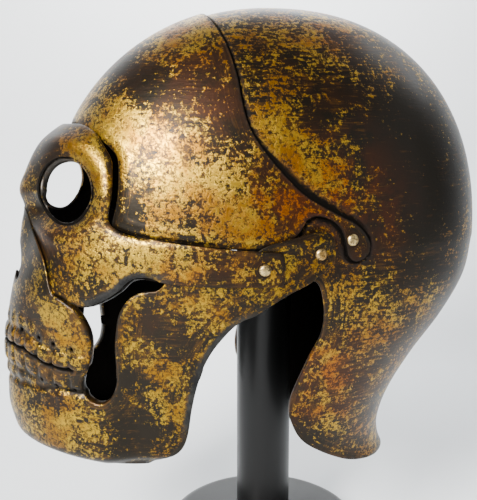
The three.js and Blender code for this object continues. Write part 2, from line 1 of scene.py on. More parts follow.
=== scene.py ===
"""Dresses a skull helmet on its display stand: antique brass sheets, rivets and a black wooden stand.

Helmet sizes are in millimetres as (across, forward, up) from the line through the pivot rivets.
Across is the wearer's left, forward is the way that the face looks. Meshes are stored in metres
in the row frame.
"""
import json
import logging
import math
from collections.abc import Callable, Sequence
from dataclasses import dataclass, field
from enum import Enum

import bpy
import numpy as np
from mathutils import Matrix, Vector

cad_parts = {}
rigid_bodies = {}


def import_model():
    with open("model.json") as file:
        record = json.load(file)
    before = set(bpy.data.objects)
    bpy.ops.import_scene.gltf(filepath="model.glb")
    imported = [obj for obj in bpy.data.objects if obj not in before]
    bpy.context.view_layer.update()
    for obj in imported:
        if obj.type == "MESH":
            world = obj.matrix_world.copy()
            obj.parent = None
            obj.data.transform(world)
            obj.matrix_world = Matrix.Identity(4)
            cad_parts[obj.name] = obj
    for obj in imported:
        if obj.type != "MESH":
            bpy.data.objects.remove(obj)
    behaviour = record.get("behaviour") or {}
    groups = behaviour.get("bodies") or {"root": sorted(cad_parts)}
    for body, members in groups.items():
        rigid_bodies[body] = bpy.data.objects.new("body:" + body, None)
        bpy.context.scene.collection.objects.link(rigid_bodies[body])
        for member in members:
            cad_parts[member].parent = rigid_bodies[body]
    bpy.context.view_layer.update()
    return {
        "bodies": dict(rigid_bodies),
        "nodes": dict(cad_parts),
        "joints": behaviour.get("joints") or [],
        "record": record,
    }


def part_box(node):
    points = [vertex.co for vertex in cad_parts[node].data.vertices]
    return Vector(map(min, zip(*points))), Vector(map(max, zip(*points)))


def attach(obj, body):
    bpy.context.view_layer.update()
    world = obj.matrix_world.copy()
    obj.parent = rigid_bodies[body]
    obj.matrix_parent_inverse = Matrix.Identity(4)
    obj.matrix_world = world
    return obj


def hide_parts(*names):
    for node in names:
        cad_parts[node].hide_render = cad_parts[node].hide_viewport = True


logging.basicConfig(level=logging.INFO, format="%(message)s")
log = logging.getLogger("skull_helmet")

Rows = Sequence[Sequence[float]]
FRAME: dict = {}
Field = Callable[["Places"], np.ndarray]

SHEET = 1.5
LAP = 1.8
RIM_BULGE = 0.35
EDGE_REACH = 24.0
BROW_REACH = 138.5
CROWN_HEIGHT = 138.5
REAR_REACH = 133.0
HALF_WIDTH = 87.5
NAPE_DROP = 144.0
FACE_REACH = 163.5
FACE_HALF_WIDTH = 92.6
JAW_DROP = 124.0
# how far past a plate's outline the visor still counts as over it
OVERHANG = 3.0
# a gap's share of its length towards the pivots
SLANT_SHARE = 0.85
# gap that a turned edge keeps, and the least that it turns in
SCRAPE_GAP = 1.0
LEAST_TURN_IN = 0.1 * SHEET
# degrees of the visor's swing at which its edges are kept clear of the skull plates
VISOR_TURNS = (12.0, 24.0, 36.0, 46.0, 55.0)

# depths in millimetres that edges turn in by, and that they are rolled by
DOME_TURN, PLATE_TURN, MASK_TURN, JAW_TURN = 3.0, 5.0, 4.0, 4.5
BROW_ROLL, CHEEK_ROLL, JAW_ROLL, SLOT_ROLL = 1.6, 4.2, 1.1, 1.2
SLOT_ROLL_WIDTH = 3.0


class Body(Enum):
    """The bodies of the frame that pieces ride on."""

    SKULL = "skull"
    VISOR = "visor"


class Slot(Enum):
    """The record's material slots."""

    DOME = "dark_brass"
    PLATE = "plate_brass"
    MASK = "mask_brass"
    JAW = "jaw_brass"
    RIVET = "rivet_brass"
    WOOD = "black_wood"


def smooth(x: np.ndarray, start: float, end: float) -> np.ndarray:
    """A soft step.

    Args:
        x: The values.
        start: Where the step is 0.
        end: Where the step is 1.

    Returns:
        3t^2 - 2t^3 of the share t of the way from start to end.
    """
    t = np.clip((x - start) / (end - start), 0.0, 1.0)
    return t * t * (3.0 - 2.0 * t)


def through(xs: np.ndarray, ys: np.ndarray, x: np.ndarray) -> np.ndarray:
    """Reads the smooth curve through a column of a table.

    Args:
        xs: The rows' places, rising.
        ys: The rows' values.
        x: Where to read.

    Returns:
        Cubic Hermite values whose slope at a row is that between its two neighbours.
    """
    last = len(xs) - 1
    at = np.clip(x, xs[0], xs[-1])
    i = np.clip(np.searchsorted(xs, at, side="right") - 1, 0, last - 1)
    low, high = np.maximum(np.arange(last + 1) - 1, 0), np.minimum(np.arange(last + 1) + 1, last)
    slope = (ys[high] - ys[low]) / (xs[high] - xs[low])
    span = xs[i + 1] - xs[i]
    t = (at - xs[i]) / span
    return ((2 * t**3 - 3 * t**2 + 1) * ys[i] + (t**3 - 2 * t**2 + t) * span * slope[i]
            + (3 * t**2 - 2 * t**3) * ys[i + 1] + (t**3 - t**2) * span * slope[i + 1])


def rolled_edge(inside: np.ndarray, wide: float, deep: float) -> np.ndarray:
    """How a sheet sinks where its free edge is rolled in.

    Args:
        inside: Distances from the edge.
        wide: How far in from the edge the roll begins.
        deep: How deep it sinks at the edge.

    Returns:
        Millimetres, negative inwards, along a quarter of an ellipse.
    """
    away = np.clip(1 - inside / wide, 0.0, 1.0)
    return -deep * (1 - np.sqrt(1 - away**2))


def reach_at(angle: np.ndarray, exponent: np.ndarray | float) -> np.ndarray:
    """How far a superellipse of half sizes 1 reaches.

    Args:
        angle: The angle from its long axis.
        exponent: 2 gives a circle, more gives a boxier form.

    Returns:
        The radius at each angle.
    """
    return (np.abs(np.cos(angle))**exponent + np.abs(np.sin(angle))**exponent)**(-1.0 / exponent)


@dataclass(frozen=True)
class Places:
    """Points of a surface: their parameters and where they lie, in millimetres."""

    u: np.ndarray
    v: np.ndarray
    xyz: np.ndarray

    @property
    def across(self) -> np.ndarray:
        """Distance to the wearer's left."""
        return self.xyz[:, 0]

    @property
    def forward(self) -> np.ndarray:
        """Distance ahead of the pivots."""
        return self.xyz[:, 1]

    @property
    def up(self) -> np.ndarray:
        """Height above the pivots."""
        return self.xyz[:, 2]


@dataclass(frozen=True)
class SkullForm:
    """The frontal plate's outer face: a superellipsoid bowl that runs on into the nape guard."""

    plan: float = 2.2
    profile: float = 2.12
    rear_profile: float = 2.24
    # down: share of NAPE_DROP; rear, half, middle: shares of REAR_REACH, HALF_WIDTH, BROW_REACH
    nape: tuple[tuple[float, float, float, float], ...] = (
        (0.0, 1.0, 1.0, 0.0), (0.175, 0.962, 0.985, 0.0), (0.345, 0.857, 0.925, 0.0),
        (0.52, 0.722, 0.835, 0.01), (0.695, 0.617, 0.755, 0.022), (0.835, 0.586, 0.697, 0.036),
        (0.925, 0.6, 0.675, 0.043), (1.0, 0.632, 0.685, 0.043),
    )

    def point(self, u: np.ndarray, v: np.ndarray) -> np.ndarray:
        """Points of the surface.

        Args:
            u: The angle round from the front.
            v: 0 at the crown, 1 at the pivots, 2 at the nape guard's edge.

        Returns:
            Points as (across, forward, up). Each level is a superellipse, whose size shrinks
            towards the crown as a superellipse of the height does.
        """
        polar = np.minimum(v, 1.0) * math.pi / 2
        high = np.cos(polar)**(2 / self.profile)
        rearward = np.maximum(-np.cos(u), 0.0)**2
        exponent = self.profile + (self.rear_profile - self.profile) * rearward
        k = np.maximum(1 - high**exponent, 0.0)**(1 / exponent)
        down = np.maximum(v - 1.0, 0.0)
        levels, rear, half, middle = np.array(self.nape).T
        radius = k * reach_at(u, self.plan)
        lengthways = np.where(np.cos(u) > 0, BROW_REACH, REAR_REACH * through(levels, rear, down))
        return np.stack([
            HALF_WIDTH * through(levels, half, down) * radius * np.sin(u),
            BROW_REACH * through(levels, middle, down) + lengthways * radius * np.cos(u),
            np.where(v > 1.0, -down * NAPE_DROP, CROWN_HEIGHT * high),
        ], axis=1)


@dataclass(frozen=True)
class FaceForm:
    """The face mask's outer face, in level superellipses, with the nose as a ridge."""

    ridge: float = 5.0
    ridge_width: float = 12.0
    hollow_width: float = 38.0
    # up: share of JAW_DROP or CROWN_HEIGHT; reach, half: shares of FACE_REACH, FACE_HALF_WIDTH
    levels: tuple[tuple[float, float, float, float], ...] = (
        (-1.0, 0.911, 0.72, 2.0), (-0.96, 0.948, 0.76, 2.0),
        (-0.895, 0.976, 0.79, 1.95),
        (-0.79, 0.99, 0.825, 1.85), (-0.645, 1.0, 0.89, 1.75), (-0.48, 1.0, 0.944, 1.75),
        (-0.32, 0.985, 0.98, 1.85), (-0.2, 0.966, 0.998, 1.95), (-0.097, 0.945, 1.0, 2.0),
        (0.0, 0.936, 1.0, 2.0), (0.072, 0.927, 1.0, 1.95), (0.144, 0.916, 0.955, 2.0),
        (0.217, 0.931, 0.898, 2.2), (0.289, 0.911, 0.879, 2.2), (0.361, 0.881, 0.861, 2.2),
        (0.433, 0.838, 0.838, 2.2), (0.498, 0.779, 0.795, 2.2), (0.534, 0.742, 0.78, 2.2),
    )

    def point(self, u: np.ndarray, v: np.ndarray) -> np.ndarray:
        """Points of the surface.

        Args:
            u: The angle round from the front.
            v: The height above the pivots.

        Returns:
            Points as (across, forward, up). Beside the nose the face sinks by the ridge's height.
        """
        share, reach, half, exponent = np.array(self.levels).T
        ups = share * np.where(share >= 0, CROWN_HEIGHT, JAW_DROP)
        radius = reach_at(u, through(ups, exponent, v))
        across = FACE_HALF_WIDTH * through(ups, half, v) * radius * np.sin(u)
        forward = FACE_REACH * through(ups, reach, v) * radius * np.cos(u)
        away = 1 - np.exp(-(across / self.ridge_width)**2)
        fade = np.exp(-(across / self.hollow_width)**4)
        level = np.exp(-((v - 0.13 * CROWN_HEIGHT) / (0.22 * CROWN_HEIGHT))**2)
        sink = np.where(np.cos(u) > 0, self.ridge * away * fade * level, 0.0)
        return np.stack([across, forward - sink, v], axis=1)


Form = SkullForm | FaceForm


@dataclass(frozen=True)
class Outline:
    """A closed outline in a plane, smooth between its corners.

    Rows are (along, up, corner): shares of the reach and of CROWN_HEIGHT above the pivots, or of
    the drop below them. A third entry of 1 marks a corner.
    """

    rows: Rows
    reach: float
    drop: float
    steps: int = 5

    def polygon(self) -> np.ndarray:
        """The outline as points.

        Returns:
            Points in millimetres on uniform Catmull-Rom curves from corner to corner.
        """
        share = np.array([row[:2] for row in self.rows], float)
        rise = np.where(share[:, 1] >= 0, CROWN_HEIGHT, self.drop)
        points = np.stack([share[:, 0] * self.reach, share[:, 1] * rise], axis=1)
        corners = [i for i, row in enumerate(self.rows) if len(row) > 2]
        runs = []
        for start, end in zip(corners, corners[1:] + [corners[0] + len(points)]):
            run = points[np.arange(start, end + 1) % len(points)]
            padded = np.vstack([run[:1], run, run[-1:]])
            t = (np.arange(self.steps) / self.steps)[None, :, None]
            a, b, c, d = (padded[k:len(padded) - 3 + k, None, :] for k in range(4))
            curve = 0.5 * (2 * b + (c - a) * t + (2 * a - 5 * b + 4 * c - d) * t**2
                           + (3 * b - a - 3 * c + d) * t**3)
            runs.append(curve.reshape(-1, 2) if end - start > 1 else run[:1])
        return np.vstack(runs)

    def inside(self, along: np.ndarray, up: np.ndarray) -> np.ndarray:
        """How far points lie inside the outline.

        Args:
            along: Their first coordinate.
            up: Their second coordinate.

        Returns:
            The distance to the outline, negative outside.
        """
        a = self.polygon()
        b = np.roll(a, -1, axis=0)
        near = np.full(len(along), np.inf)
        crossings = np.zeros(len(along), int)
        for (ax, ay), (bx, by) in zip(a, b):
            dx, dy = bx - ax, by - ay
            t = np.clip(((along - ax) * dx + (up - ay) * dy) / max(dx * dx + dy * dy, 1e-9), 0, 1)
            near = np.minimum(near, np.hypot(along - ax - t * dx, up - ay - t * dy))
            if ay != by:
                crosses = ((ay > up) != (by > up)) & (along < dx * (up - ay) / dy + ax)
                crossings += crosses
        return np.where(crossings % 2 == 1, near, -near)


FRONTAL_OUTLINE = Outline((
    (1.3, 0.49, 1), (0.875, 0.49, 1), (0.835, 0.47), (0.793, 0.427), (0.757, 0.392),
    (0.739, 0.36), (0.739, 0.294), (0.745, 0.227), (0.754, 0.18), (0.764, 0.138),
    (0.772, 0.112), (0.768, 0.1), (0.755, 0.092), (0.666, 0.062), (0.524, 0.043),
    (0.343, 0.023), (0.189, 0.027), (0.093, 0.063), (0.046, 0.126, 1), (0.01, 0.14),
    (-0.043, 0.127), (-0.087, 0.09), (-0.108, 0.036), (-0.119, -0.015), (-0.15, -0.048),
    (-0.195, -0.036), (-0.219, 0.0), (-0.214, 0.043), (-0.169, 0.1), (-0.085, 0.145),
    (0.036, 0.212), (0.113, 0.281), (0.203, 0.392), (0.253, 0.485), (0.27, 0.577),
    (0.277, 0.672), (0.295, 0.79), (0.323, 0.9), (0.335, 0.955, 1), (0.335, 1.2, 1), (1.3, 1.2, 1),
), BROW_REACH, JAW_DROP)

MASK_OUTLINE = Outline((
    (1.2, 0.498, 1), (0.75, 0.498, 1), (0.73, 0.495), (0.704, 0.48), (0.683, 0.457),
    (0.671, 0.427), (0.655, 0.391), (0.643, 0.357), (0.641, 0.3), (0.647, 0.229),
    (0.654, 0.175), (0.66, 0.14), (0.655, 0.116), (0.64, 0.099), (0.6, 0.079), (0.5, 0.058),
    (0.42, 0.045), (0.296, 0.028), (0.187, 0.018), (0.14, 0.014), (0.125, 0.0),
    (0.12, -0.056), (0.124, -0.12), (0.142, -0.132), (0.265, -0.129), (0.404, -0.126),
    (0.501, -0.112), (0.56, -0.104), (0.6, -0.118), (0.632, -0.162), (0.685, -0.215),
    (0.735, -0.243), (0.775, -0.232), (0.81, -0.205, 1), (0.862, -0.17), (0.9, -0.05), (0.92, 0.03, 1),
    (1.2, 0.03, 1),
), FACE_REACH, JAW_DROP)

JAW_OUTLINE = Outline((
    (1.2, 0.145, 1), (0.915, 0.145, 1), (0.905, 0.125), (0.887, 0.049), (0.858, -0.046),
    (0.838, -0.18), (0.815, -0.205), (0.768, -0.25), (0.733, -0.327), (0.721, -0.4),
    (0.727, -0.5), (0.748, -0.588), (0.742, -0.648), (0.715, -0.68), (0.684, -0.68),
    (0.66, -0.64), (0.646, -0.568), (0.651, -0.428), (0.647, -0.327), (0.637, -0.247),
    (0.61, -0.187), (0.569, -0.156), (0.524, -0.147), (0.499, -0.116, 1), (0.46, -0.03),
    (0.38, -0.02), (0.25, -0.01), (0.19, 0.03), (0.147, 0.049), (0.114, 0.058), (0.063, 0.076),
    (0.024, 0.089), (-0.005, 0.093), (-0.031, 0.083), (-0.045, 0.058), (-0.051, 0.02),
    (-0.052, -0.016), (-0.045, -0.046), (-0.018, -0.076), (0.013, -0.103), (0.037, -0.127),
    (0.099, -0.166), (0.163, -0.217), (0.211, -0.263), (0.255, -0.289), (0.29, -0.329),
    (0.336, -0.41), (0.365, -0.486), (0.379, -0.548), (0.393, -0.63), (0.404, -0.736),
    (0.412, -0.839), (0.432, -0.92), (0.476, -0.978), (0.535, -1.005), (0.6, -1.01),
    (0.7, -0.995), (0.8, -0.97), (0.889, -0.946), (0.94, -0.93), (1.0, -0.915, 1),
    (1.2, -0.915, 1),
), FACE_REACH, JAW_DROP)

DOME_OUTLINE = Outline((
    (0.51, 1.2, 1), (0.51, 0.96, 1), (0.49, 0.86), (0.46, 0.72), (0.44, 0.6), (0.41, 0.49),
    (0.345, 0.36), (0.245, 0.245), (0.16, 0.145), (0.108, 0.045), (0.087, -0.04),
    (0.045, -0.095), (-0.005, -0.118), (-0.03, -0.182), (-0.041, -0.264), (-0.033, -0.347),
    (-0.002, -0.433), (0.028, -0.52), (0.056, -0.61), (0.06, -0.667), (0.05, -0.71),
    (-0.004, -0.807), (-0.105, -0.88), (-0.238, -0.942), (-0.355, -0.97), (-0.436, -0.98, 1),
    (-1.3, -0.98, 1), (-1.3, 1.2, 1),
), BROW_REACH, NAPE_DROP)

NOSE_OUTLINE = Outline((
    (0, 0.0, 1), (0.05, -0.03), (0.1, -0.1), (0.125, -0.15), (0.1, -0.178), (0.04, -0.165),
    (0, -0.14, 1), (-0.04, -0.165), (-0.1, -0.178), (-0.125, -0.15), (-0.1, -0.1), (-0.05, -0.03),
), FACE_HALF_WIDTH, JAW_DROP)


def room_when_raised(at: Places) -> np.ndarray:
    """How far points of the visor clear the skull plates while it swings up.

    Args:
        at: The points.

    Returns:
        Millimetres, the least over the swing. A point counts while it passes over the frontal
        plate, and its distance is measured towards the pivots, less a share for the slant.
    """
    form = SkullForm()
    least = np.full(len(at.u), np.inf)
    for turn in np.radians(VISOR_TURNS):
        forward = at.forward * math.cos(turn) - at.up * math.sin(turn)
        up = at.forward * math.sin(turn) + at.up * math.cos(turn)
        level = np.abs(at.across / HALF_WIDTH)**form.plan + np.abs(forward / BROW_REACH)**form.plan
        size = level**(form.profile / form.plan) + np.abs(up / CROWN_HEIGHT)**form.profile
        away = (1 - size**(-1 / form.profile)) * np.linalg.norm(at.xyz, axis=1)
        over = FRONTAL_OUTLINE.inside(forward, up) > -OVERHANG
        least = np.where(over, np.minimum(least, SLANT_SHARE * away), least)
    return least


def turned_in(wanted: np.ndarray, worked: np.ndarray, at: Places) -> np.ndarray:
    """How deep a visor edge turns in.

    Args:
        wanted: The depth where nothing is in the way.
        worked: How far the edge already stands out of its form.
        at: The edge's points.

    Returns:
        The wanted depth, or less where the edge would scrape the skull plates.
    """
    free = room_when_raised(at) + 0.5 * (worked - SHEET) - SCRAPE_GAP
    return np.minimum(wanted, np.maximum(free, LEAST_TURN_IN))


def within(outline: Outline) -> Field:
    """The part of a form inside an outline, less what its rounded rim adds.

    Args:
        outline: The outline, seen from the side.

    Returns:
        A field in millimetres, positive inside.
    """
    return lambda at: outline.inside(at.forward, at.up) - RIM_BULGE


@dataclass(frozen=True)
class EyeHole:
    """The eye hole seen from the side, an ellipse that leans with the brow."""

    forward: float = 0.795 * FACE_REACH
    up: float = 0.233 * CROWN_HEIGHT
    half_length: float = 0.079 * FACE_REACH
    half_height: float = 0.122 * CROWN_HEIGHT
    lean: float = 0.16

    def outside(self, at: Places) -> np.ndarray:
        """How far points lie outside the hole, seen from the side.

        Args:
            at: The points.

        Returns:
            Millimetres, negative in the hole.
        """
        dx, dy = at.forward - self.forward, at.up - self.up
        along = dx * math.cos(self.lean) + dy * math.sin(self.lean)
        rise = dy * math.cos(self.lean) - dx * math.sin(self.lean)
        size = np.hypot(along / self.half_length, rise / self.half_height)
        return (size - 1) * np.hypot(along, rise) / np.maximum(size, 1e-6)


@dataclass(frozen=True)
class Dentition:
    """Two rows of teeth, the bite between them and the drilled gums."""

    a_side: int = 7
    pitch: float = 9.2
    upper: float = 8.4
    lower: float = 10.6
    relief: float = 1.3
    bite_gap: float = 1.4
    zigzag: float = 0.8
    drill: float = 1.5
    back: float = 0.778 * FACE_REACH
    # forward share of FACE_REACH and up share of JAW_DROP along the bite
    bite: tuple[tuple[float, float], ...] = (
        (0.775, -0.535), (0.81, -0.53), (0.866, -0.517), (0.9, -0.495), (0.945, -0.468), (1.2, -0.462),
    )
    # degrees round the face and up share of JAW_DROP
    gum_holes: tuple[tuple[float, float], ...] = (
        (15.5, -0.385), (24.0, -0.4), (29.3, -0.42), (35.2, -0.435), (24.4, -0.6), (29.8, -0.62),
        (35.5, -0.63),
    )

    def bite_up(self, forward: np.ndarray) -> np.ndarray:
        """The bite's height.

        Args:
            forward: Distances ahead of the pivots.

        Returns:
            Heights in millimetres.
        """
        share, up = np.array(self.bite).T
        return through(share * FACE_REACH, up * JAW_DROP, forward)

    def phase(self, at: Places) -> np.ndarray:
        """Where points lie across their tooth.

        Args:
            at: The points.

        Returns:
            -1 at one side of the tooth and 1 at the other.
        """
        turn = np.abs(at.u) * FACE_HALF_WIDTH / self.pitch
        return 2 * (turn - np.floor(turn)) - 1

    def from_bite(self, at: Places) -> np.ndarray:
        """Height above the bite, which zigzags between the teeth.

        Args:
            at: The points.

        Returns:
            Millimetres, negative on the lower teeth.
        """
        wave = 1 - np.abs(self.phase(at))**2
        return at.up - self.bite_up(at.forward) + self.zigzag * (wave - 0.5)

    def relief_at(self, at: Places) -> np.ndarray:
        """How far the teeth stand out of the jaw.

        Args:
            at: The points.

        Returns:
            Millimetres. A tooth is a rounded pillow, blunt at the bite and tapering to its root,
            which shows as a low ridge in the gum.
        """
        height = self.from_bite(at)
        size = np.where(height > 0, self.upper, self.lower) * 1.22
        along = np.clip(np.abs(height) / size, 0, 1.2)
        taper = 0.95 - 0.30 * along**3
        body = 1 - (np.abs(self.phase(at)) / taper)**6
        ends = (1 - along**5) * smooth(np.abs(height), 0.2, 1.8)
        teeth = np.clip(body, 0, 1)**0.5 * np.clip(ends, 0, 1)**0.7
        count = np.abs(at.u) * FACE_HALF_WIDTH / self.pitch < self.a_side
        beyond = (np.abs(height) - 1.45 * size) / (0.5 * size)
        root = 0.55 * np.clip(1 - beyond**2, 0, 1) * np.clip(1 - (1.5 * self.phase(at))**2, 0, 1)
        gum = -0.5 * np.exp(-((np.abs(height) - size) / 2.0)**2)
        return (self.relief * teeth + gum + root) * count

    def crevice_shade_at(self, at: Places) -> np.ndarray:
        """Painted shade in the hollows: between the teeth, along the bite and round the drilled holes.

        Args:
            at: The points.

        Returns:
            0 where no shade is painted, up to 1.
        """
        height = np.abs(self.from_bite(at))
        count = np.abs(at.u) * FACE_HALF_WIDTH / self.pitch < self.a_side
        groove = (0.75 * np.exp(-((1 - np.abs(self.phase(at))) / 0.13)**2)
                  * count * (height < 1.25 * self.lower))
        slit = np.exp(-(np.maximum(self.clear_of_bite(at), 0) / 0.9)**2)
        holes = 0.9 * np.exp(-(np.maximum(self.clear_of_drill(at), 0) / 0.7)**2)
        return np.maximum(np.maximum(groove, slit), holes)

    def clear_of_bite(self, at: Places) -> np.ndarray:
        """How far points lie from the bite's slit.

        Args:
            at: The points.

        Returns:
            Millimetres, negative in the slit.
        """
        wide = 0.5 * self.bite_gap + 0.5 * np.abs(self.phase(at))**6
        return np.maximum(np.abs(self.from_bite(at)) - wide, self.back - at.forward)

    def clear_of_drill(self, at: Places) -> np.ndarray:
        """How far points lie from the nearest drilled hole.

        Args:
            at: The points.

        Returns:
            Millimetres, negative in a hole.
        """
        angles, ups = np.radians([h[0] for h in self.gum_holes]), np.array([h[1] for h in self.gum_holes])
        middles = FaceForm().point(angles, ups * JAW_DROP)
        mirrored = np.stack([np.abs(at.across), at.forward, at.up], axis=1)
        away = np.linalg.norm(mirrored[:, None, :] - middles[None, :, :], axis=2).min(axis=1)
        return away - self.drill


# radius and height in millimetres, from the shank's end to the top of the head
RIVET_PROFILE = (
    (0.0, -6.0), (1.6, -6.0), (1.6, -2.0), (3.2, -2.0), (3.3, -1.7), (3.1, -1.1),
    (2.5, -0.5), (1.6, -0.13), (0.7, 0.0), (0.0, 0.0),
)
# shares of the base's radius and height
BASE_SHOULDER = ((1.0, 0.62), (0.985, 0.86), (0.94, 0.97))


@dataclass(frozen=True)
class RivetSeat:
    """Where a rivet sits on the wearer's left, and the way it points."""

    point: tuple[float, float, float]
    normal: tuple[float, float, float]

    def away(self, at: Places) -> np.ndarray:
        """Distance from the rivet's axis on either side.

        Args:
            at: The points.

        Returns:
            Millimetres.
        """
        offset = at.xyz - np.array(self.point)
        mirrored = np.abs(at.across) - self.point[0]
        offset[:, 0] = mirrored
        axis = np.array(self.normal)
        return np.linalg.norm(offset - (offset @ axis)[:, None] * axis, axis=1)


@dataclass(frozen=True)
class WearAndSheen:
    """Soft round patches, seen from the side, where the finish holds more or less leaf or copper.

    Rows are (forward, up, radius, leaf, copper), the first three in millimetres. Some rows that add leaf
    stand for painted highlights.
    """

    spots: Rows

    def _sum(self, at: Places, column: int) -> np.ndarray:
        """Adds up one column, each patch fading as a bell curve of the distance.

        Args:
            at: The points.
            column: The column.

        Returns:
            The sum at each point.
        """
        spots = np.array(self.spots, float)
        away = np.hypot(at.forward[:, None] - spots[:, 0], at.up[:, None] - spots[:, 1])
        return (np.exp(-(away / spots[:, 2])**2) * spots[:, column]).sum(axis=1)

    def marks(self) -> tuple[tuple[str, Field], ...]:
        """The patches as point attributes.

        Returns:
            The attributes leaf and copper with their fields.
        """
        return (("leaf", lambda at: self._sum(at, 3)), ("copper", lambda at: self._sum(at, 4)))


DOME_WEAR = WearAndSheen((
    (-11, 126, 34, 0.10, 0.25), (4, 88, 34, -0.10, 0.10), (25, 58, 22, 0.34, -0.10),
    (-11, 36, 27, 0.04, 0.75), (-34, 18, 20, 0.0, 0.60), (-66, 46, 46, -0.42, 0.0),
    (-60, 96, 34, -0.14, 0.0), (-78, -10, 30, -0.16, 0.0), (-40, -34, 26, 0.04, 0.10),
    (-8, -78, 28, 0.04, 0.60), (-62, -70, 24, -0.06, 0.10), (-24, -120, 22, -0.05, 0.15),
))
# the first row adds leaf where the key light's reflection lies on the plate: a painted highlight
PLATE_WEAR_AND_SHEEN = WearAndSheen((
    (88, 60, 24, 0.24, 0.0), (64, 40, 26, 0.08, 0.0), (88, 92, 17, -0.30, 0.10),
    (58, 84, 20, -0.24, 0.25), (60, 116, 26, 0.10, 0.20), (30, 30, 18, 0.08, 0.55),
    (4, 24, 18, 0.0, 0.75), (-18, 4, 14, -0.12, 0.30), (92, 16, 14, -0.22, 0.0),
    (64, 12, 16, -0.12, 0.10), (44, 72, 20, -0.12, 0.20),
))
# the first row adds leaf on the ridge behind the eye: a painted highlight
MASK_WEAR_AND_SHEEN = WearAndSheen((
    (118, 44, 12, 0.40, 0.0), (112, 16, 16, 0.20, 0.0), (140, 52, 16, -0.26, 0.10),
    (134, 8, 12, -0.12, 0.35), (94, -2, 18, 0.04, 0.0), (56, -6, 24, -0.02, 0.25),
    (24, -6, 16, -0.12, 0.20), (122, 70, 14, 0.04, 0.15),
))
JAW_WEAR = WearAndSheen((
    (132, -34, 14, 0.18, 0.0), (118, -52, 9, 0.10, 0.0), (152, -40, 16, -0.14, 0.10),
    (134, -82, 10, -0.14, 0.10), (138, -98, 9, 0.12, 0.0), (116, -100, 9, 0.14, 0.0),
    (92, -104, 15, -0.34, 0.0), (96, -72, 9, -0.26, 0.0), (84, -40, 14, -0.16, 0.15),
    (76, -84, 14, 0.02, 0.0), (96, -58, 10, 0.12, 0.0), (60, -28, 14, 0.08, 0.15),
    (10, 0, 14, -0.08, 0.15),
))


def seat_from(node: str, pivot: np.ndarray) -> RivetSeat:
    """Reads a rivet's seat from its CAD node.

    Args:
        node: The node on the wearer's left.
        pivot: The middle of the pivot line in metres.

    Returns:
        The middle of the head's underside and its direction, from the mesh's own vertices.
    """
    mesh = frame_nodes()[node].data
    xyz = np.empty(3 * len(mesh.vertices))
    mesh.vertices.foreach_get("co", xyz)
    points = to_helmet(xyz.reshape(-1, 3), pivot)
    middle = points.mean(axis=0)
    _, _, axes = np.linalg.svd(points - middle, full_matrices=False)
    normal = max(axes, key=lambda axis: abs(axis[0]))
    normal = normal * np.sign(normal[0])
    top = points[np.argmax((points - middle) @ normal)]
    return RivetSeat(tuple(top), tuple(normal))


def frame_nodes() -> dict[str, bpy.types.Object]:
    """The CAD nodes of the loaded frame.

    Returns:
        The objects by node name.
    """
    return FRAME["nodes"]


def to_helmet(points: np.ndarray, pivot: np.ndarray) -> np.ndarray:
    """Row frame metres as helmet millimetres.

    Args:
        points: Points in metres.
        pivot: The middle of the pivot line in metres.

    Returns:
        Points as (across, forward, up).
    """
    return (points - pivot) * np.array([1.0, -1.0, 1.0]) * 1000


def to_row(points: np.ndarray, pivot: np.ndarray) -> np.ndarray:
    """Helmet millimetres as row frame metres.

    Args:
        points: Points as (across, forward, up).
        pivot: The middle of the pivot line in metres.

    Returns:
        Points in metres.
    """
    return points * np.array([1.0, -1.0, 1.0]) / 1000 + pivot


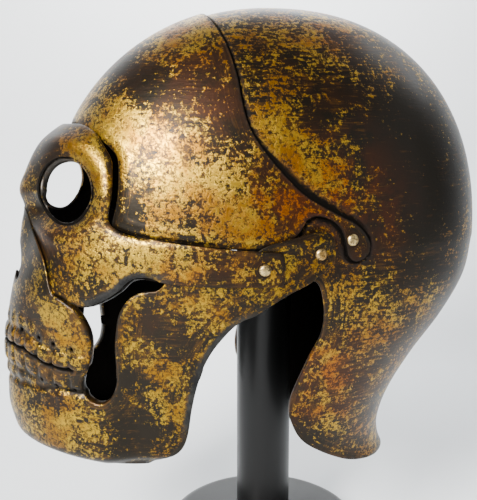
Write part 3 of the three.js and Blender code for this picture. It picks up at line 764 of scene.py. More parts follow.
@dataclass
class Trim:
    """A triangulated patch of a form, cut along the zero lines of fields."""

    form: Form
    uv: np.ndarray
    triangles: np.ndarray

    @classmethod
    def grid(cls, form: Form, u: np.ndarray, v: np.ndarray, closed: bool) -> "Trim":
        """A full patch.

        Args:
            form: The surface.
            u: The first parameter's values, rising.
            v: The second parameter's values, rising.
            closed: Whether u comes round to its start.

        Returns:
            The patch with two triangles to a cell.
        """
        uu, vv = np.meshgrid(u, v, indexing="ij")
        index = np.arange(uu.size).reshape(uu.shape)
        if closed:
            index = np.vstack([index, index[:1]])
        a, b = index[:-1, :-1].ravel(), index[1:, :-1].ravel()
        c, d = index[1:, 1:].ravel(), index[:-1, 1:].ravel()
        return cls(form, np.stack([uu.ravel(), vv.ravel()], axis=1),
                   np.vstack([np.stack([a, b, c], axis=1), np.stack([a, c, d], axis=1)]))

    def places(self) -> Places:
        """Where the patch's points lie.

        Returns:
            The points.
        """
        return Places(self.uv[:, 0], self.uv[:, 1], self.form.point(self.uv[:, 0], self.uv[:, 1]))

    def _step(self, value: np.ndarray, edges: np.ndarray) -> np.ndarray:
        """Parameter steps along edges, the short way round.

        Args:
            value: The parameters.
            edges: Pairs of point indices.

        Returns:
            The second point's parameters less the first's.
        """
        step = value[edges[:, 1]] - value[edges[:, 0]]
        step[:, 0] = (step[:, 0] + math.pi) % (2 * math.pi) - math.pi
        return step

    def cut(self, inside: Field) -> None:
        """Keeps the part where a field is positive.

        Points near the zero line are first drawn onto it, so that no slivers are left. Then each
        triangle that the line crosses is cut where the field is zero along its sides.

        Args:
            inside: The field, in millimetres.
        """
        value = inside(self.places())
        for _ in range(2):
            edges = np.unique(np.sort(np.vstack([
                self.triangles[:, [0, 1]], self.triangles[:, [1, 2]], self.triangles[:, [2, 0]],
            ]), axis=1), axis=0)
            crossed = edges[value[edges[:, 0]] * value[edges[:, 1]] < 0]
            share = value[crossed[:, 0]] / (value[crossed[:, 0]] - value[crossed[:, 1]])
            target = self.uv[crossed[:, 0]] + self._step(self.uv, crossed) * share[:, None]
            near, far = share < 0.3, share > 0.7
            self.uv[crossed[near, 0]] = target[near]
            self.uv[crossed[far, 1]] = target[far]
            moved = np.concatenate([crossed[near, 0], crossed[far, 1]])
            value[moved] = 0.0
        tri = self.triangles
        sign = np.sign(value)[tri]
        keep = (sign.max(axis=1) > 0) & (sign.min(axis=1) >= 0)
        mixed = tri[(sign.max(axis=1) > 0) & (sign.min(axis=1) < 0)]
        inner = value[mixed] >= 0
        one = inner.sum(axis=1) == 1
        first = np.where(one, inner.argmax(axis=1), (~inner).argmax(axis=1))
        turned = mixed[np.arange(len(mixed))[:, None], (first[:, None] + np.arange(3)) % 3]
        sides = np.vstack([turned[:, [0, 1]], turned[:, [0, 2]]])
        low_high = np.sort(sides, axis=1)
        unique, where = np.unique(low_high, axis=0, return_inverse=True)
        where = where.ravel()
        share = value[unique[:, 0]] / (value[unique[:, 0]] - value[unique[:, 1]] + 1e-12)
        share = np.clip(share, 0, 1)
        fresh = self.uv[unique[:, 0]] + self._step(self.uv, unique) * share[:, None]
        number = len(self.uv) + np.arange(len(unique))
        for column in (0, 1):
            zero = value[unique[:, column]] == 0
            number[zero] = unique[zero, column]
        cut = number[where].reshape(2, -1)
        single, double = turned[one], turned[~one]
        pieces = [
            tri[keep],
            np.stack([single[:, 0], cut[0, one], cut[1, one]], axis=1),
            np.stack([double[:, 1], double[:, 2], cut[1, ~one]], axis=1),
            np.stack([double[:, 1], cut[1, ~one], cut[0, ~one]], axis=1),
        ]
        triangles = np.vstack(pieces)
        flat = ((triangles[:, 0] == triangles[:, 1]) | (triangles[:, 1] == triangles[:, 2])
                | (triangles[:, 2] == triangles[:, 0]))
        self.uv = np.vstack([self.uv, fresh])
        self._compact(triangles[~flat])

    def _compact(self, triangles: np.ndarray) -> None:
        """Drops points that no triangle uses.

        Args:
            triangles: The triangles to keep.
        """
        used, where = np.unique(triangles, return_inverse=True)
        self.uv = self.uv[used]
        self.triangles = where.reshape(-1, 3)

    def main_part(self) -> None:
        """Drops crumbs: keeps the parts with at least a fiftieth of the triangles."""
        label = np.arange(len(self.uv))
        while True:
            low = label[self.triangles].min(axis=1)
            new = label.copy()
            for column in range(3):
                np.minimum.at(new, self.triangles[:, column], low)
            new = new[new]
            if np.array_equal(new, label):
                break
            label = new
        names, counts = np.unique(label[self.triangles[:, 0]], return_counts=True)
        large = names[counts > len(self.triangles) / 50]
        self._compact(self.triangles[np.isin(label[self.triangles[:, 0]], large)])

    def normals(self) -> np.ndarray:
        """The form's unit normals at the patch's points, pointing out.

        Returns:
            Normals from central differences of the form.
        """
        u, v = self.uv.T
        dv = 0.004 if isinstance(self.form, SkullForm) else 0.4
        along = self.form.point(u + 0.004, v) - self.form.point(u - 0.004, v)
        down = self.form.point(u, v + dv) - self.form.point(u, v - dv)
        normal = np.cross(along, down)
        length = np.linalg.norm(normal, axis=1, keepdims=True)
        normal = np.where(length > 1e-9, normal / np.maximum(length, 1e-9), np.array([0.0, 0.0, 1.0]))
        outward = self.form.point(u, v)
        flip = np.sign((normal * outward).sum(axis=1, keepdims=True))
        return normal * np.where(flip == 0, 1.0, flip)


@dataclass
class MeshData:
    """A mesh in helmet millimetres with float attributes on its points."""

    points: np.ndarray
    triangles: np.ndarray
    attributes: dict[str, np.ndarray] = field(default_factory=dict)

    def build(self, name: str, pivot: np.ndarray, material: bpy.types.Material) -> bpy.types.Object:
        """Makes the Blender object.

        Args:
            name: Its name.
            pivot: The middle of the pivot line in metres.
            material: Its material.

        Returns:
            A linked object with smooth faces at the origin.
        """
        mesh = bpy.data.meshes.new(name)
        # forward is -Y, which mirrors the faces, so each is listed the other way round
        corners = self.triangles[:, ::-1].astype(np.int32)
        mesh.vertices.add(len(self.points))
        mesh.vertices.foreach_set("co", to_row(self.points, pivot).astype(np.float32).ravel())
        mesh.loops.add(corners.size)
        mesh.loops.foreach_set("vertex_index", corners.ravel())
        mesh.polygons.add(len(corners))
        mesh.polygons.foreach_set("loop_start", np.arange(0, corners.size, 3, dtype=np.int32))
        mesh.update(calc_edges=True)
        mesh.validate()
        mesh.polygons.foreach_set("use_smooth", np.ones(len(mesh.polygons), bool))
        for key, values in self.attributes.items():
            layer = mesh.attributes.new(key, "FLOAT", "POINT")
            layer.data.foreach_set("value", values.astype(np.float32))
        mesh.materials.append(material)
        obj = bpy.data.objects.new(name, mesh)
        bpy.context.scene.collection.objects.link(obj)
        log.info("%s: %d triangles", name, len(corners))
        return obj


@dataclass(frozen=True)
class Plate:
    """A sheet of metal on a form: where it ends, how it is worked and how its edges turn in."""

    node: str
    body: Body
    slot: Slot
    form: Form
    u: np.ndarray
    v: np.ndarray
    closed: bool
    fields: tuple[Field, ...]
    lift: Field
    relief: Field
    flange: Field
    marks: tuple[tuple[str, Field], ...] = ()
    rim_steps: int = 6

    def trimmed(self) -> Trim:
        """The sheet's outline on its form.

        Returns:
            The cut patch.
        """
        patch = Trim.grid(self.form, self.u, self.v, self.closed)
        for cut in self.fields:
            patch.cut(cut)
        patch.main_part()
        return patch

    def solid(self) -> MeshData:
        """The sheet with its thickness and turned edges.

        Returns:
            Outer face, inner face and, round each free edge, rounded rows that run in by the
            flange's depth and back. Attributes: edge, the distance to the nearest free edge,
            inner, 1 on the inside, and the plate's own marks.
        """
        patch = self.trimmed()
        at, normal = patch.places(), patch.normals()
        base = at.xyz + normal * self.lift(at)[:, None]
        outer = base + normal * self.relief(at)[:, None]
        inner = base - normal * SHEET
        tri = self._outward(patch.triangles, outer, normal)
        edges = np.vstack([tri[:, [0, 1]], tri[:, [1, 2]], tri[:, [2, 0]]])
        code = edges[:, 0] * len(outer) + edges[:, 1]
        back = edges[:, 1] * len(outer) + edges[:, 0]
        border = edges[~np.isin(code, back)]
        rim = np.unique(border)
        sideways = np.zeros_like(outer)
        step = outer[border[:, 1]] - outer[border[:, 0]]
        push = np.cross(step, normal[border[:, 0]] + normal[border[:, 1]])
        np.add.at(sideways, border[:, 0], push)
        np.add.at(sideways, border[:, 1], push)
        out = sideways[rim] / np.maximum(np.linalg.norm(sideways[rim], axis=1, keepdims=True), 1e-9)
        deep = self.flange(Places(at.u[rim], at.v[rim], at.xyz[rim]))[:, None]
        flanged = np.clip(deep / SHEET, 0, 1)
        inner[rim] -= out * SHEET * flanged
        across = inner[rim] - outer[rim]
        down = -normal[rim]
        theta = np.linspace(0, math.pi, self.rim_steps + 2)[1:-1]
        rows = []
        for angle in theta:
            turn = (1 - math.cos(angle)) / 2
            bulge = RIM_BULGE * math.sin(angle) ** 0.7
            rows.append(outer[rim] + across * turn + out * bulge + down * deep * math.sin(angle) ** 0.45)
        points = np.vstack([outer, inner, *rows])
        count, ring = len(outer), len(rim)
        place = np.full(count, -1)
        place[rim] = np.arange(ring)
        levels = [np.arange(count)] + [
            np.where(place >= 0, 2 * count + k * ring + place, -1) for k in range(len(theta))
        ] + [np.arange(count) + count]
        skirt = []
        for upper, lower in zip(levels, levels[1:]):
            a, b = upper[border[:, 0]], upper[border[:, 1]]
            c, d = lower[border[:, 1]], lower[border[:, 0]]
            skirt += [np.stack([b, a, d], axis=1), np.stack([b, d, c], axis=1)]
        triangles = np.vstack([tri, tri[:, ::-1] + count, *skirt])
        near = np.clip(np.min([cut(at) for cut in self.fields], axis=0), 0, EDGE_REACH)
        attributes = {
            "edge": np.concatenate([near, near, np.zeros(ring * len(theta))]),
            "inner": np.concatenate([
                np.zeros(count), np.ones(count), np.repeat(np.linspace(0.2, 1, len(theta)), ring),
            ]),
        }
        for key, mark in self.marks:
            value = mark(at)
            attributes[key] = np.concatenate([value, value, np.tile(value[rim], len(theta))])
        return MeshData(points, triangles, attributes)

    @staticmethod
    def _outward(tri: np.ndarray, points: np.ndarray, normal: np.ndarray) -> np.ndarray:
        """Turns triangles so that they face along the normals.

        Args:
            tri: The triangles.
            points: Their points.
            normal: The normals at the points.

        Returns:
            The triangles, each facing out.
        """
        a, b, c = (points[tri[:, k]] for k in range(3))
        facing = (np.cross(b - a, c - a) * normal[tri[:, 0]]).sum(axis=1)
        return np.where((facing < 0)[:, None], tri[:, ::-1], tri)


@dataclass(frozen=True)
class Turned:
    """A piece turned about an axis, its profile as (radius, height) rows from bottom to top."""

    profile: Rows
    centre: tuple[float, float, float]
    axis: tuple[float, float, float]
    around: int = 64

    def solid(self) -> MeshData:
        """The turned surface with its profile's corners rounded.

        Returns:
            A closed mesh. Its edge attribute is the distance along the profile from the top.
        """
        rows = np.array(self.profile, float)
        for _ in range(2):
            corner = rows[1:-1]
            near = corner + 0.25 * np.clip(rows[:-2] - corner, -2.4, 2.4)
            far = corner + 0.25 * np.clip(rows[2:] - corner, -2.4, 2.4)
            rows = np.vstack([rows[:1], np.stack([near, far], axis=1).reshape(-1, 2), rows[-1:]])
        turn = np.linspace(0, 2 * math.pi, self.around, endpoint=False)
        axis = np.array(self.axis) / np.linalg.norm(self.axis)
        side = np.cross(axis, [0.0, 0.0, 1.0] if abs(axis[2]) < 0.9 else [1.0, 0.0, 0.0])
        side /= np.linalg.norm(side)
        other = np.cross(axis, side)
        ring = np.cos(turn)[:, None] * side + np.sin(turn)[:, None] * other
        body = rows[1:-1]
        points = (np.array(self.centre) + ring[None] * body[:, :1, None]
                  + axis * body[:, 1:, None]).reshape(-1, 3)
        ends = np.array(self.centre) + axis * rows[[0, -1], 1:]
        index = np.arange(len(body) * self.around).reshape(len(body), self.around)
        after = np.roll(index, -1, axis=1)
        a, b, c, d = index[:-1], after[:-1], after[1:], index[1:]
        low, high = len(points), len(points) + 1
        fans = [
            np.stack([after[0], index[0], np.full(self.around, low)], axis=1),
            np.stack([index[-1], after[-1], np.full(self.around, high)], axis=1),
        ]
        quads = [np.stack([p.ravel(), q.ravel(), r.ravel()], axis=1)
                 for p, q, r in ((a, b, c), (a, c, d))]
        top = rows[-1, 1]
        edge = np.concatenate([np.repeat(top - body[:, 1], self.around), [top - rows[0, 1], 0.0]])
        triangles = np.vstack([*quads, *fans])
        return MeshData(np.vstack([points, ends]), triangles, {"edge": np.clip(edge, 0, EDGE_REACH)})


@dataclass(frozen=True)
class Brass:
    """An antique brass finish: gold leaf worn through a dark patina under lacquer."""

    name: str
    coverage: float
    gold: tuple[float, float, float] = (0.52, 0.315, 0.02)
    dark: tuple[float, float, float] = (0.011, 0.008, 0.004)
    streak: float = 0.5
    lacquer: float = 0.06
    grime: float = 0.8
    lumps: float = 34.0
    polish: float = 0.31


# linear colours
COPPER = (0.36, 0.08, 0.004, 1)
BROWN_GROUND = (0.05, 0.023, 0.004, 1)
WARM_GROUND = (0.09, 0.018, 0.001, 1)
DEEP_GOLD_SHARE = (0.62, 0.46, 0.25)
STEEL_DARK, STEEL_PALE = (0.010, 0.010, 0.010, 1), (0.036, 0.034, 0.030, 1)
# near-black for the inner faces, and for painted shade
SHADE_AND_LINING_BLACK = (0.003, 0.0025, 0.002, 1)
WOOD_DARK, WOOD_PALE = (0.002, 0.002, 0.002, 1), (0.006, 0.006, 0.006, 1)
FLOOR_COLOUR = (0.74, 0.765, 0.785, 1)
ROOM_COLOUR = (0.86, 0.9, 0.96, 1)

DOME_BRASS = Brass("dark_brass", coverage=0.41, gold=(0.46, 0.275, 0.016), streak=0.9, lacquer=0.10,
                   polish=0.38)
PLATE_BRASS = Brass("plate_brass", coverage=0.48, streak=0.6)
MASK_BRASS = Brass("mask_brass", coverage=0.46, gold=(0.46, 0.285, 0.018), streak=0.45)
JAW_BRASS = Brass("jaw_brass", coverage=0.43, gold=(0.37, 0.225, 0.011), streak=0.5)
RIVET_BRASS = Brass("rivet_brass", coverage=1.0, gold=(0.62, 0.46, 0.20), streak=0.1, grime=0.3)


class Nodes:
    """Builds one node tree, linking its nodes one by one."""

    def __init__(self, tree: bpy.types.NodeTree) -> None:
        """Takes the tree to fill.

        Args:
            tree: A material's or a group's tree.
        """
        self.tree = tree

    def add(self, kind: str, inputs: dict | None = None, **settings: object) -> bpy.types.Node:
        """Adds a node.

        Args:
            kind: The node's type name.
            inputs: Socket values or sockets to link, by input name or number.
            settings: Properties of the node.

        Returns:
            The node.
        """
        node = self.tree.nodes.new(kind)
        for key, value in settings.items():
            setattr(node, key, value)
        for key, value in (inputs or {}).items():
            if isinstance(value, bpy.types.NodeSocket):
                self.tree.links.new(value, node.inputs[key])
            else:
                node.inputs[key].default_value = value
        return node

    def math(self, operation: str, a: object, b: object = 0.5, c: object = None) -> bpy.types.NodeSocket:
        """Adds a math node.

        Args:
            operation: The operation's name.
            a: First value or socket.
            b: Second value or socket.
            c: Third value or socket, where the operation takes one.

        Returns:
            Its output.
        """
        values = {0: a, 1: b} if c is None else {0: a, 1: b, 2: c}
        return self.add("ShaderNodeMath", values, operation=operation).outputs[0]

    def step(self, value: object, start: float, end: float) -> bpy.types.NodeSocket:
        """Adds a soft step.

        Args:
            value: The value's socket.
            start: Where it is 0.
            end: Where it is 1.

        Returns:
            Its output.
        """
        node = self.add("ShaderNodeMapRange", {0: value, 1: start, 2: end},
                        interpolation_type="SMOOTHSTEP")
        return node.outputs[0]

    def noise(self, vector: object, scale: float, detail: float, rough: float,
              warp: float = 0.0) -> bpy.types.NodeSocket:
        """Adds a noise texture.

        Args:
            vector: The coordinates' socket.
            scale: Lumps per metre of the coordinates.
            detail: Octaves.
            rough: How strong the fine octaves are.
            warp: How far it is distorted.

        Returns:
            The value's socket.
        """
        return self.add("ShaderNodeTexNoise", {
            "Vector": vector, "Scale": scale, "Detail": detail, "Roughness": rough, "Distortion": warp,
        }).outputs["Fac"]

    def mix(self, share: object, a: object, b: object) -> bpy.types.NodeSocket:
        """Adds a colour mix.

        Args:
            share: 0 gives a, 1 gives b.
            a: A colour or socket.
            b: A colour or socket.

        Returns:
            Its output.
        """
        node = self.add("ShaderNodeMix", {0: share, 6: a, 7: b}, data_type="RGBA")
        return node.outputs[2]


def patina_group() -> bpy.types.NodeTree:
    """The worn leaf pattern shared by all brass finishes.

    Returns:
        A group with inputs Coverage, Streak, Lumps and Grime, and outputs Leaf (1 on gold), Tone
        (slow colour drift), Ground (1 on the browner ground), Scratch and Height.
    """
    group = bpy.data.node_groups.new("leaf_patina", "ShaderNodeTree")
    face = group.interface
    for name, value in (("Coverage", 0.5), ("Streak", 0.5), ("Lumps", 34.0), ("Grime", 0.8)):
        socket = face.new_socket(name, in_out="INPUT", socket_type="NodeSocketFloat")
        socket.default_value = value
    for name in ("Leaf", "Tone", "Ground", "Scratch", "Height"):
        face.new_socket(name, in_out="OUTPUT", socket_type="NodeSocketFloat")
    n = Nodes(group)
    given = n.add("NodeGroupInput").outputs
    here = n.add("ShaderNodeTexCoord").outputs["Object"]
    split = n.add("ShaderNodeSeparateXYZ", {0: here}).outputs
    edge = n.add("ShaderNodeAttribute", attribute_name="edge").outputs["Fac"]
    # the leaf attribute: wear patches, and on the forehead plate and mask also painted highlights
    wear_and_sheen = n.add("ShaderNodeAttribute", attribute_name="leaf").outputs["Fac"]
    lumps = n.noise(here, given["Lumps"], 11.0, 0.74, 0.3)
    flecks = n.noise(here, 150.0, 6.0, 0.8, 0.6)
    grain = n.noise(here, 480.0, 3.0, 0.7)
    brushed = n.add("ShaderNodeMapping", {
        "Vector": here, "Rotation": (0.5, 0.15, 0.2), "Scale": (150.0, 90.0, 760.0),
    }).outputs[0]
    crossed = n.add("ShaderNodeMapping", {
        "Vector": here, "Rotation": (-0.75, 0.1, 0.0), "Scale": (150.0, 80.0, 820.0),
    }).outputs[0]
    where = n.step(n.noise(here, 15.0, 2.0, 0.5), 0.42, 0.58)
    freely = n.add("ShaderNodeMix", {
        0: where, 2: n.noise(brushed, 1.0, 3.0, 0.6, 0.5), 3: n.noise(crossed, 1.0, 3.0, 0.6, 0.5),
    }).outputs[0]
    # near an edge the strokes run along it
    beside = n.add("ShaderNodeCombineXYZ", {
        0: n.math("MULTIPLY", edge, 0.8), 1: n.math("MULTIPLY", split["Y"], 45.0),
        2: n.math("MULTIPLY", split["Z"], 45.0),
    }).outputs[0]
    near = n.math("MULTIPLY", n.math("SUBTRACT", 1.0, n.step(edge, 8.0, 22.0)), 0.75)
    strokes = n.add("ShaderNodeMix", {
        0: near, 2: freely, 3: n.noise(beside, 1.0, 4.0, 0.65, 0.4),
    }).outputs[0]
    # the level of the leaf: lumps, flecks, grain and strokes, each about 0, on top of the coverage
    level = n.math("SUBTRACT", given["Coverage"], 0.5)
    level = n.math("MULTIPLY_ADD", n.math("SUBTRACT", lumps, 0.5), 1.7, level)
    level = n.math("MULTIPLY_ADD", n.math("SUBTRACT", flecks, 0.5), 1.5, level)
    level = n.math("MULTIPLY_ADD", n.math("SUBTRACT", grain, 0.5), 1.5, level)
    level = n.math("MULTIPLY_ADD", n.math("SUBTRACT", strokes, 0.5), given["Streak"], level)
    level = n.math("ADD", level, wear_and_sheen)
    band = n.math("SUBTRACT", 1.0, n.step(edge, 0.4, 3.5))
    dirt = n.math("MULTIPLY", n.math("MULTIPLY", band, given["Grime"]), 0.2)
    leaf = n.step(n.math("SUBTRACT", level, dirt), -0.11, 0.14)
    pits = n.step(n.noise(here, 420.0, 3.0, 0.9, 0.6), 0.47, 0.60)
    leaf = n.math("MULTIPLY", leaf, n.math("MULTIPLY_ADD", pits, -0.85, 1.0))
    tone = n.noise(here, 46.0, 7.0, 0.7, 0.3)
    ground = n.noise(here, 70.0, 8.0, 0.72, 0.4)
    ground = n.math("MULTIPLY_ADD", n.math("SUBTRACT", strokes, 0.5), 1.2, ground)
    ground = n.step(n.math("MULTIPLY_ADD", wear_and_sheen, 0.5, ground), 0.44, 0.68)
    scratch = n.step(strokes, 0.55, 0.66)
    height = n.math("ADD", n.math("MULTIPLY", leaf, 0.3),
                    n.math("ADD", n.math("MULTIPLY", strokes, 0.5), n.math("MULTIPLY", grain, 0.3)))
    out = n.add("NodeGroupOutput").inputs
    for name, socket in (("Leaf", leaf), ("Tone", tone), ("Ground", ground), ("Scratch", scratch),
                         ("Height", height)):
        group.links.new(socket, out[name])
    return group


def brass_material(look: Brass, group: bpy.types.NodeTree) -> bpy.types.Material:
    """An antique brass material.

    Args:
        look: The finish.
        group: The shared leaf pattern.

    Returns:
        The material.
    """
    material = bpy.data.materials.new(look.name)
    material.use_nodes = True
    material.node_tree.nodes.clear()
    n = Nodes(material.node_tree)
    leaf = n.add("ShaderNodeGroup", node_tree=group)
    for name, value in (("Coverage", look.coverage), ("Streak", look.streak),
                        ("Lumps", look.lumps), ("Grime", look.grime)):
        leaf.inputs[name].default_value = value
    mask, tone, scratch = leaf.outputs["Leaf"], leaf.outputs["Tone"], leaf.outputs["Scratch"]
    copper, bare, painted_shade, inner = (
        n.add("ShaderNodeAttribute", attribute_name=name).outputs["Fac"]
        for name in ("copper", "bare", "painted_shade", "inner"))
    warm = n.math("MULTIPLY", copper, n.step(tone, 0.34, 0.6))
    deep = tuple(c * k for c, k in zip(look.gold, DEEP_GOLD_SHARE))
    gold = n.mix(n.step(tone, 0.42, 0.6), (*look.gold, 1), (*deep, 1))
    gold = n.mix(warm, gold, COPPER)
    brown = n.mix(leaf.outputs["Ground"], (*look.dark, 1), BROWN_GROUND)
    brown = n.mix(n.math("MULTIPLY", warm, 0.7), brown, WARM_GROUND)
    colour = n.mix(mask, brown, gold)
    steel = n.mix(n.step(tone, 0.4, 0.6), STEEL_DARK, STEEL_PALE)
    colour = n.mix(bare, colour, steel)
    # inner faces and painted shade go near-black, rough and without shine
    lining_and_shade = n.math("MAXIMUM", n.step(inner, 0.35, 0.75), painted_shade)
    colour = n.mix(lining_and_shade, colour, SHADE_AND_LINING_BLACK)
    rough_dark = n.math("MULTIPLY_ADD", tone, 0.24, 0.30)
    rough_gold = n.math("MULTIPLY_ADD", scratch, 0.1, look.polish)
    rough = n.add("ShaderNodeMix", {0: mask, 2: rough_dark, 3: rough_gold}).outputs[0]
    rough = n.math("MAXIMUM", rough, n.math("MULTIPLY", lining_and_shade, 0.7))
    metal = n.math("MULTIPLY", n.math("MULTIPLY_ADD", mask, 0.15, 0.8), n.math("SUBTRACT", 1.0, lining_and_shade))
    bump = n.add("ShaderNodeBump", {
        "Strength": 0.4, "Distance": 0.0005, "Height": leaf.outputs["Height"],
    }).outputs[0]
    shader = n.add("ShaderNodeBsdfPrincipled", {
        "Base Color": colour, "Metallic": metal, "Roughness": rough, "Normal": bump,
        "Specular IOR Level": n.math("MULTIPLY_ADD", lining_and_shade, -0.48, 0.5),
        "Coat Weight": n.math("MULTIPLY", n.math("SUBTRACT", 1.0, lining_and_shade), look.lacquer),
        "Coat Roughness": 0.22,
    })
    n.add("ShaderNodeOutputMaterial", {"Surface": shader.outputs[0]})
    return material


def wood_material() -> bpy.types.Material:
    """Black satin lacquer over a fine grain.

    Returns:
        The material.
    """
    material = bpy.data.materials.new("black_wood")
    material.use_nodes = True
    material.node_tree.nodes.clear()
    n = Nodes(material.node_tree)
    here = n.add("ShaderNodeTexCoord").outputs["Object"]
    grain_at = n.add("ShaderNodeMapping", {"Vector": here, "Scale": (260.0, 260.0, 18.0)}).outputs[0]
    grain = n.noise(grain_at, 1.0, 4.0, 0.6, 0.2)
    smudge = n.noise(here, 24.0, 3.0, 0.5)
    colour = n.mix(grain, WOOD_DARK, WOOD_PALE)
    rough = n.math("MULTIPLY_ADD", smudge, 0.2, 0.28)
    bump = n.add("ShaderNodeBump", {"Strength": 0.12, "Distance": 0.0003, "Height": grain}).outputs[0]
    shader = n.add("ShaderNodeBsdfPrincipled", {
        "Base Color": colour, "Roughness": rough, "Normal": bump, "Specular IOR Level": 0.25,
        "Coat Weight": 0.06, "Coat Roughness": 0.25,
    })
    n.add("ShaderNodeOutputMaterial", {"Surface": shader.outputs[0]})
    return material


@dataclass(frozen=True)
class Finishes:
    """The materials by slot."""

    by_slot: dict[Slot, bpy.types.Material]

    @classmethod
    def make(cls) -> "Finishes":
        """Makes every material once.

        Returns:
            The finishes.
        """
        group = patina_group()
        looks = {Slot.DOME: DOME_BRASS, Slot.PLATE: PLATE_BRASS, Slot.MASK: MASK_BRASS,
                 Slot.JAW: JAW_BRASS, Slot.RIVET: RIVET_BRASS}
        made = {slot: brass_material(look, group) for slot, look in looks.items()}
        made[Slot.WOOD] = wood_material()
        return cls(made)


@dataclass
class SkullHelmet:
    """The four worked sheets and their rivets."""

    pivot: np.ndarray
    finishes: Finishes
    eye: EyeHole = field(default_factory=EyeHole)
    teeth: Dentition = field(default_factory=Dentition)
    rivet_hole: float = 1.9
    roll: float = 5.0
    around: int = 380

    def build(self) -> None:
        """Builds, dresses and declares every sheet and rivet."""
        seats = {name: seat_from(f"{name}_left", self.pivot)
                 for name in ("strap_rivet", "plate_rivet", "pivot_rivet")}
        for plate in (self.dome(seats), self.frontal(seats), self.mask(seats), self.jaw(seats)):
            material = self.finishes.by_slot[plate.slot]
            obj = plate.solid().build(f"dressed_{plate.node}", self.pivot, material)
            declare(obj, plate.body, plate.slot, plate.node)
        for name, seat in seats.items():
            self.rivets(name, seat)

    def hole(self, seat: RivetSeat) -> Field:
        """A rivet's hole.

        Args:
            seat: The rivet's seat.

        Returns:
            A field in millimetres, positive outside the hole.
        """
        return lambda at: seat.away(at) - self.rivet_hole

    def dome(self, seats: dict[str, RivetSeat]) -> Plate:
        """The bowl and nape guard, a lap inside the frontal plate.

        Args:
            seats: The rivets' seats.

        Returns:
            The plate.
        """
        outline = DOME_OUTLINE

        # painted shadow: a dark band on the dome just behind the frontal plate's rear edge, wider about
        # 36 mm up
        def shadow(p: Places) -> np.ndarray:
            wide = 3.0 + 4.5 * np.exp(-((p.up - 36.0) / 18.0)**2)
            return 1 - smooth(-FRONTAL_OUTLINE.inside(p.forward, p.up) / wide, 0.45, 1.0)

        return Plate(
            "skull_dome", Body.SKULL, Slot.DOME, SkullForm(),
            np.linspace(0, 2 * math.pi, self.around, endpoint=False),
            np.concatenate([np.linspace(0.004, 1, 105)[:-1], np.linspace(1, 2, 85)]), True,
            (within(outline),
             self.hole(seats["plate_rivet"]),
             self.hole(seats["pivot_rivet"])),
            lambda p: np.full(len(p.u), -LAP),
            lambda p: np.zeros(len(p.u)),
            lambda p: DOME_TURN * smooth(-p.up, 30.0, 60.0),
            (*DOME_WEAR.marks(), ("painted_shade", shadow)),
        )

    def frontal(self, seats: dict[str, RivetSeat]) -> Plate:
        """The forehead plate with its tongue.

        Args:
            seats: The rivets' seats.

        Returns:
            The plate.
        """
        outline = FRONTAL_OUTLINE

        # painted shade: the rear edge and its rim go near-black where the plate stands off the dome
        def rear_edge(p: Places) -> np.ndarray:
            return 1 - smooth(outline.inside(p.forward, p.up), 0.4, 1.3)

        def worked(p: Places) -> np.ndarray:
            inside = outline.inside(p.forward, p.up)
            ahead = smooth(p.forward, 42.0, 60.0) * (1 - smooth(p.up, 60.0, 75.0))
            rolled = rolled_edge(inside, self.roll, BROW_ROLL) * ahead
            crease = 0.35 * np.exp(-((inside - self.roll - 1.0) / 1.1)**2) * ahead
            return rolled + crease

        return Plate(
            "frontal_plate", Body.SKULL, Slot.PLATE, SkullForm(),
            np.linspace(0, 2 * math.pi, self.around, endpoint=False),
            np.concatenate([np.linspace(0.004, 1, 125)[:-1], np.linspace(1, 1.2, 26)]), True,
            (within(outline),
             self.hole(seats["plate_rivet"])),
            lambda p: np.zeros(len(p.u)),
            worked,
            lambda p: PLATE_TURN * smooth(p.forward, 62.0, 80.0) * (1 - smooth(p.up, 60.0, 75.0)),
            (*PLATE_WEAR_AND_SHEEN.marks(), ("painted_shade", rear_edge)),
        )

    def mask(self, seats: dict[str, RivetSeat]) -> Plate:
        """The plate round the eyes with the strap over the cheek.

        Args:
            seats: The rivets' seats.

        Returns:
            The plate.
        """
        outline = MASK_OUTLINE

        def cheekbone(p: Places) -> np.ndarray:
            return (smooth(p.forward, 76.0, 92.0) * (1 - smooth(p.forward, 119.0, 125.0))
                    * smooth(-p.up, 4.0, 11.0))

        def worked(p: Places) -> np.ndarray:
            out = self.eye.outside(p)
            ring = 1.5 * np.exp(-((out - 9.5) / 4.5)**2)
            lip = -2.2 * np.exp(-(np.maximum(out, 0) / 3.2)**2)
            inside = outline.inside(p.forward, p.up)
            brow = rolled_edge(inside, self.roll, BROW_ROLL) * smooth(p.up, 4.0, 10.0)
            under = rolled_edge(inside, 1.3 * self.roll, CHEEK_ROLL) * cheekbone(p)
            return ring + lip + under + brow * (1 - 0.8 * np.exp(-(np.maximum(out, 0) / 4.0)**2))

        def bare(p: Places) -> np.ndarray:
            inside = outline.inside(p.forward, p.up)
            under = (1 - smooth(inside, 0.8 * self.roll, 1.2 * self.roll)) * cheekbone(p)
            return np.maximum(under, 0.55 * (1 - smooth(self.eye.outside(p), 0.8, 2.4)))

        ups = np.linspace(-31.5, 0.5 * CROWN_HEIGHT + 1.0, 96)
        return Plate(
            "face_mask", Body.VISOR, Slot.MASK, FaceForm(),
            np.linspace(-1.6, 1.6, 320), ups, False,
            (within(outline),
             lambda p: self.eye.outside(p) - RIM_BULGE,
             self.hole(seats["strap_rivet"])),
            lambda p: np.zeros(len(p.u)),
            worked,
            lambda p: turned_in(MASK_TURN * smooth(p.forward, 88.0, 104.0), worked(p), p),
            (*MASK_WEAR_AND_SHEEN.marks(), ("bare", bare)),
        )

    def jaw(self, seats: dict[str, RivetSeat]) -> Plate:
        """The cheek, nose hole, teeth, chin and the arm up to the pivot.

        Args:
            seats: The rivets' seats.

        Returns:
            The plate.
        """
        outline, teeth = JAW_OUTLINE, self.teeth

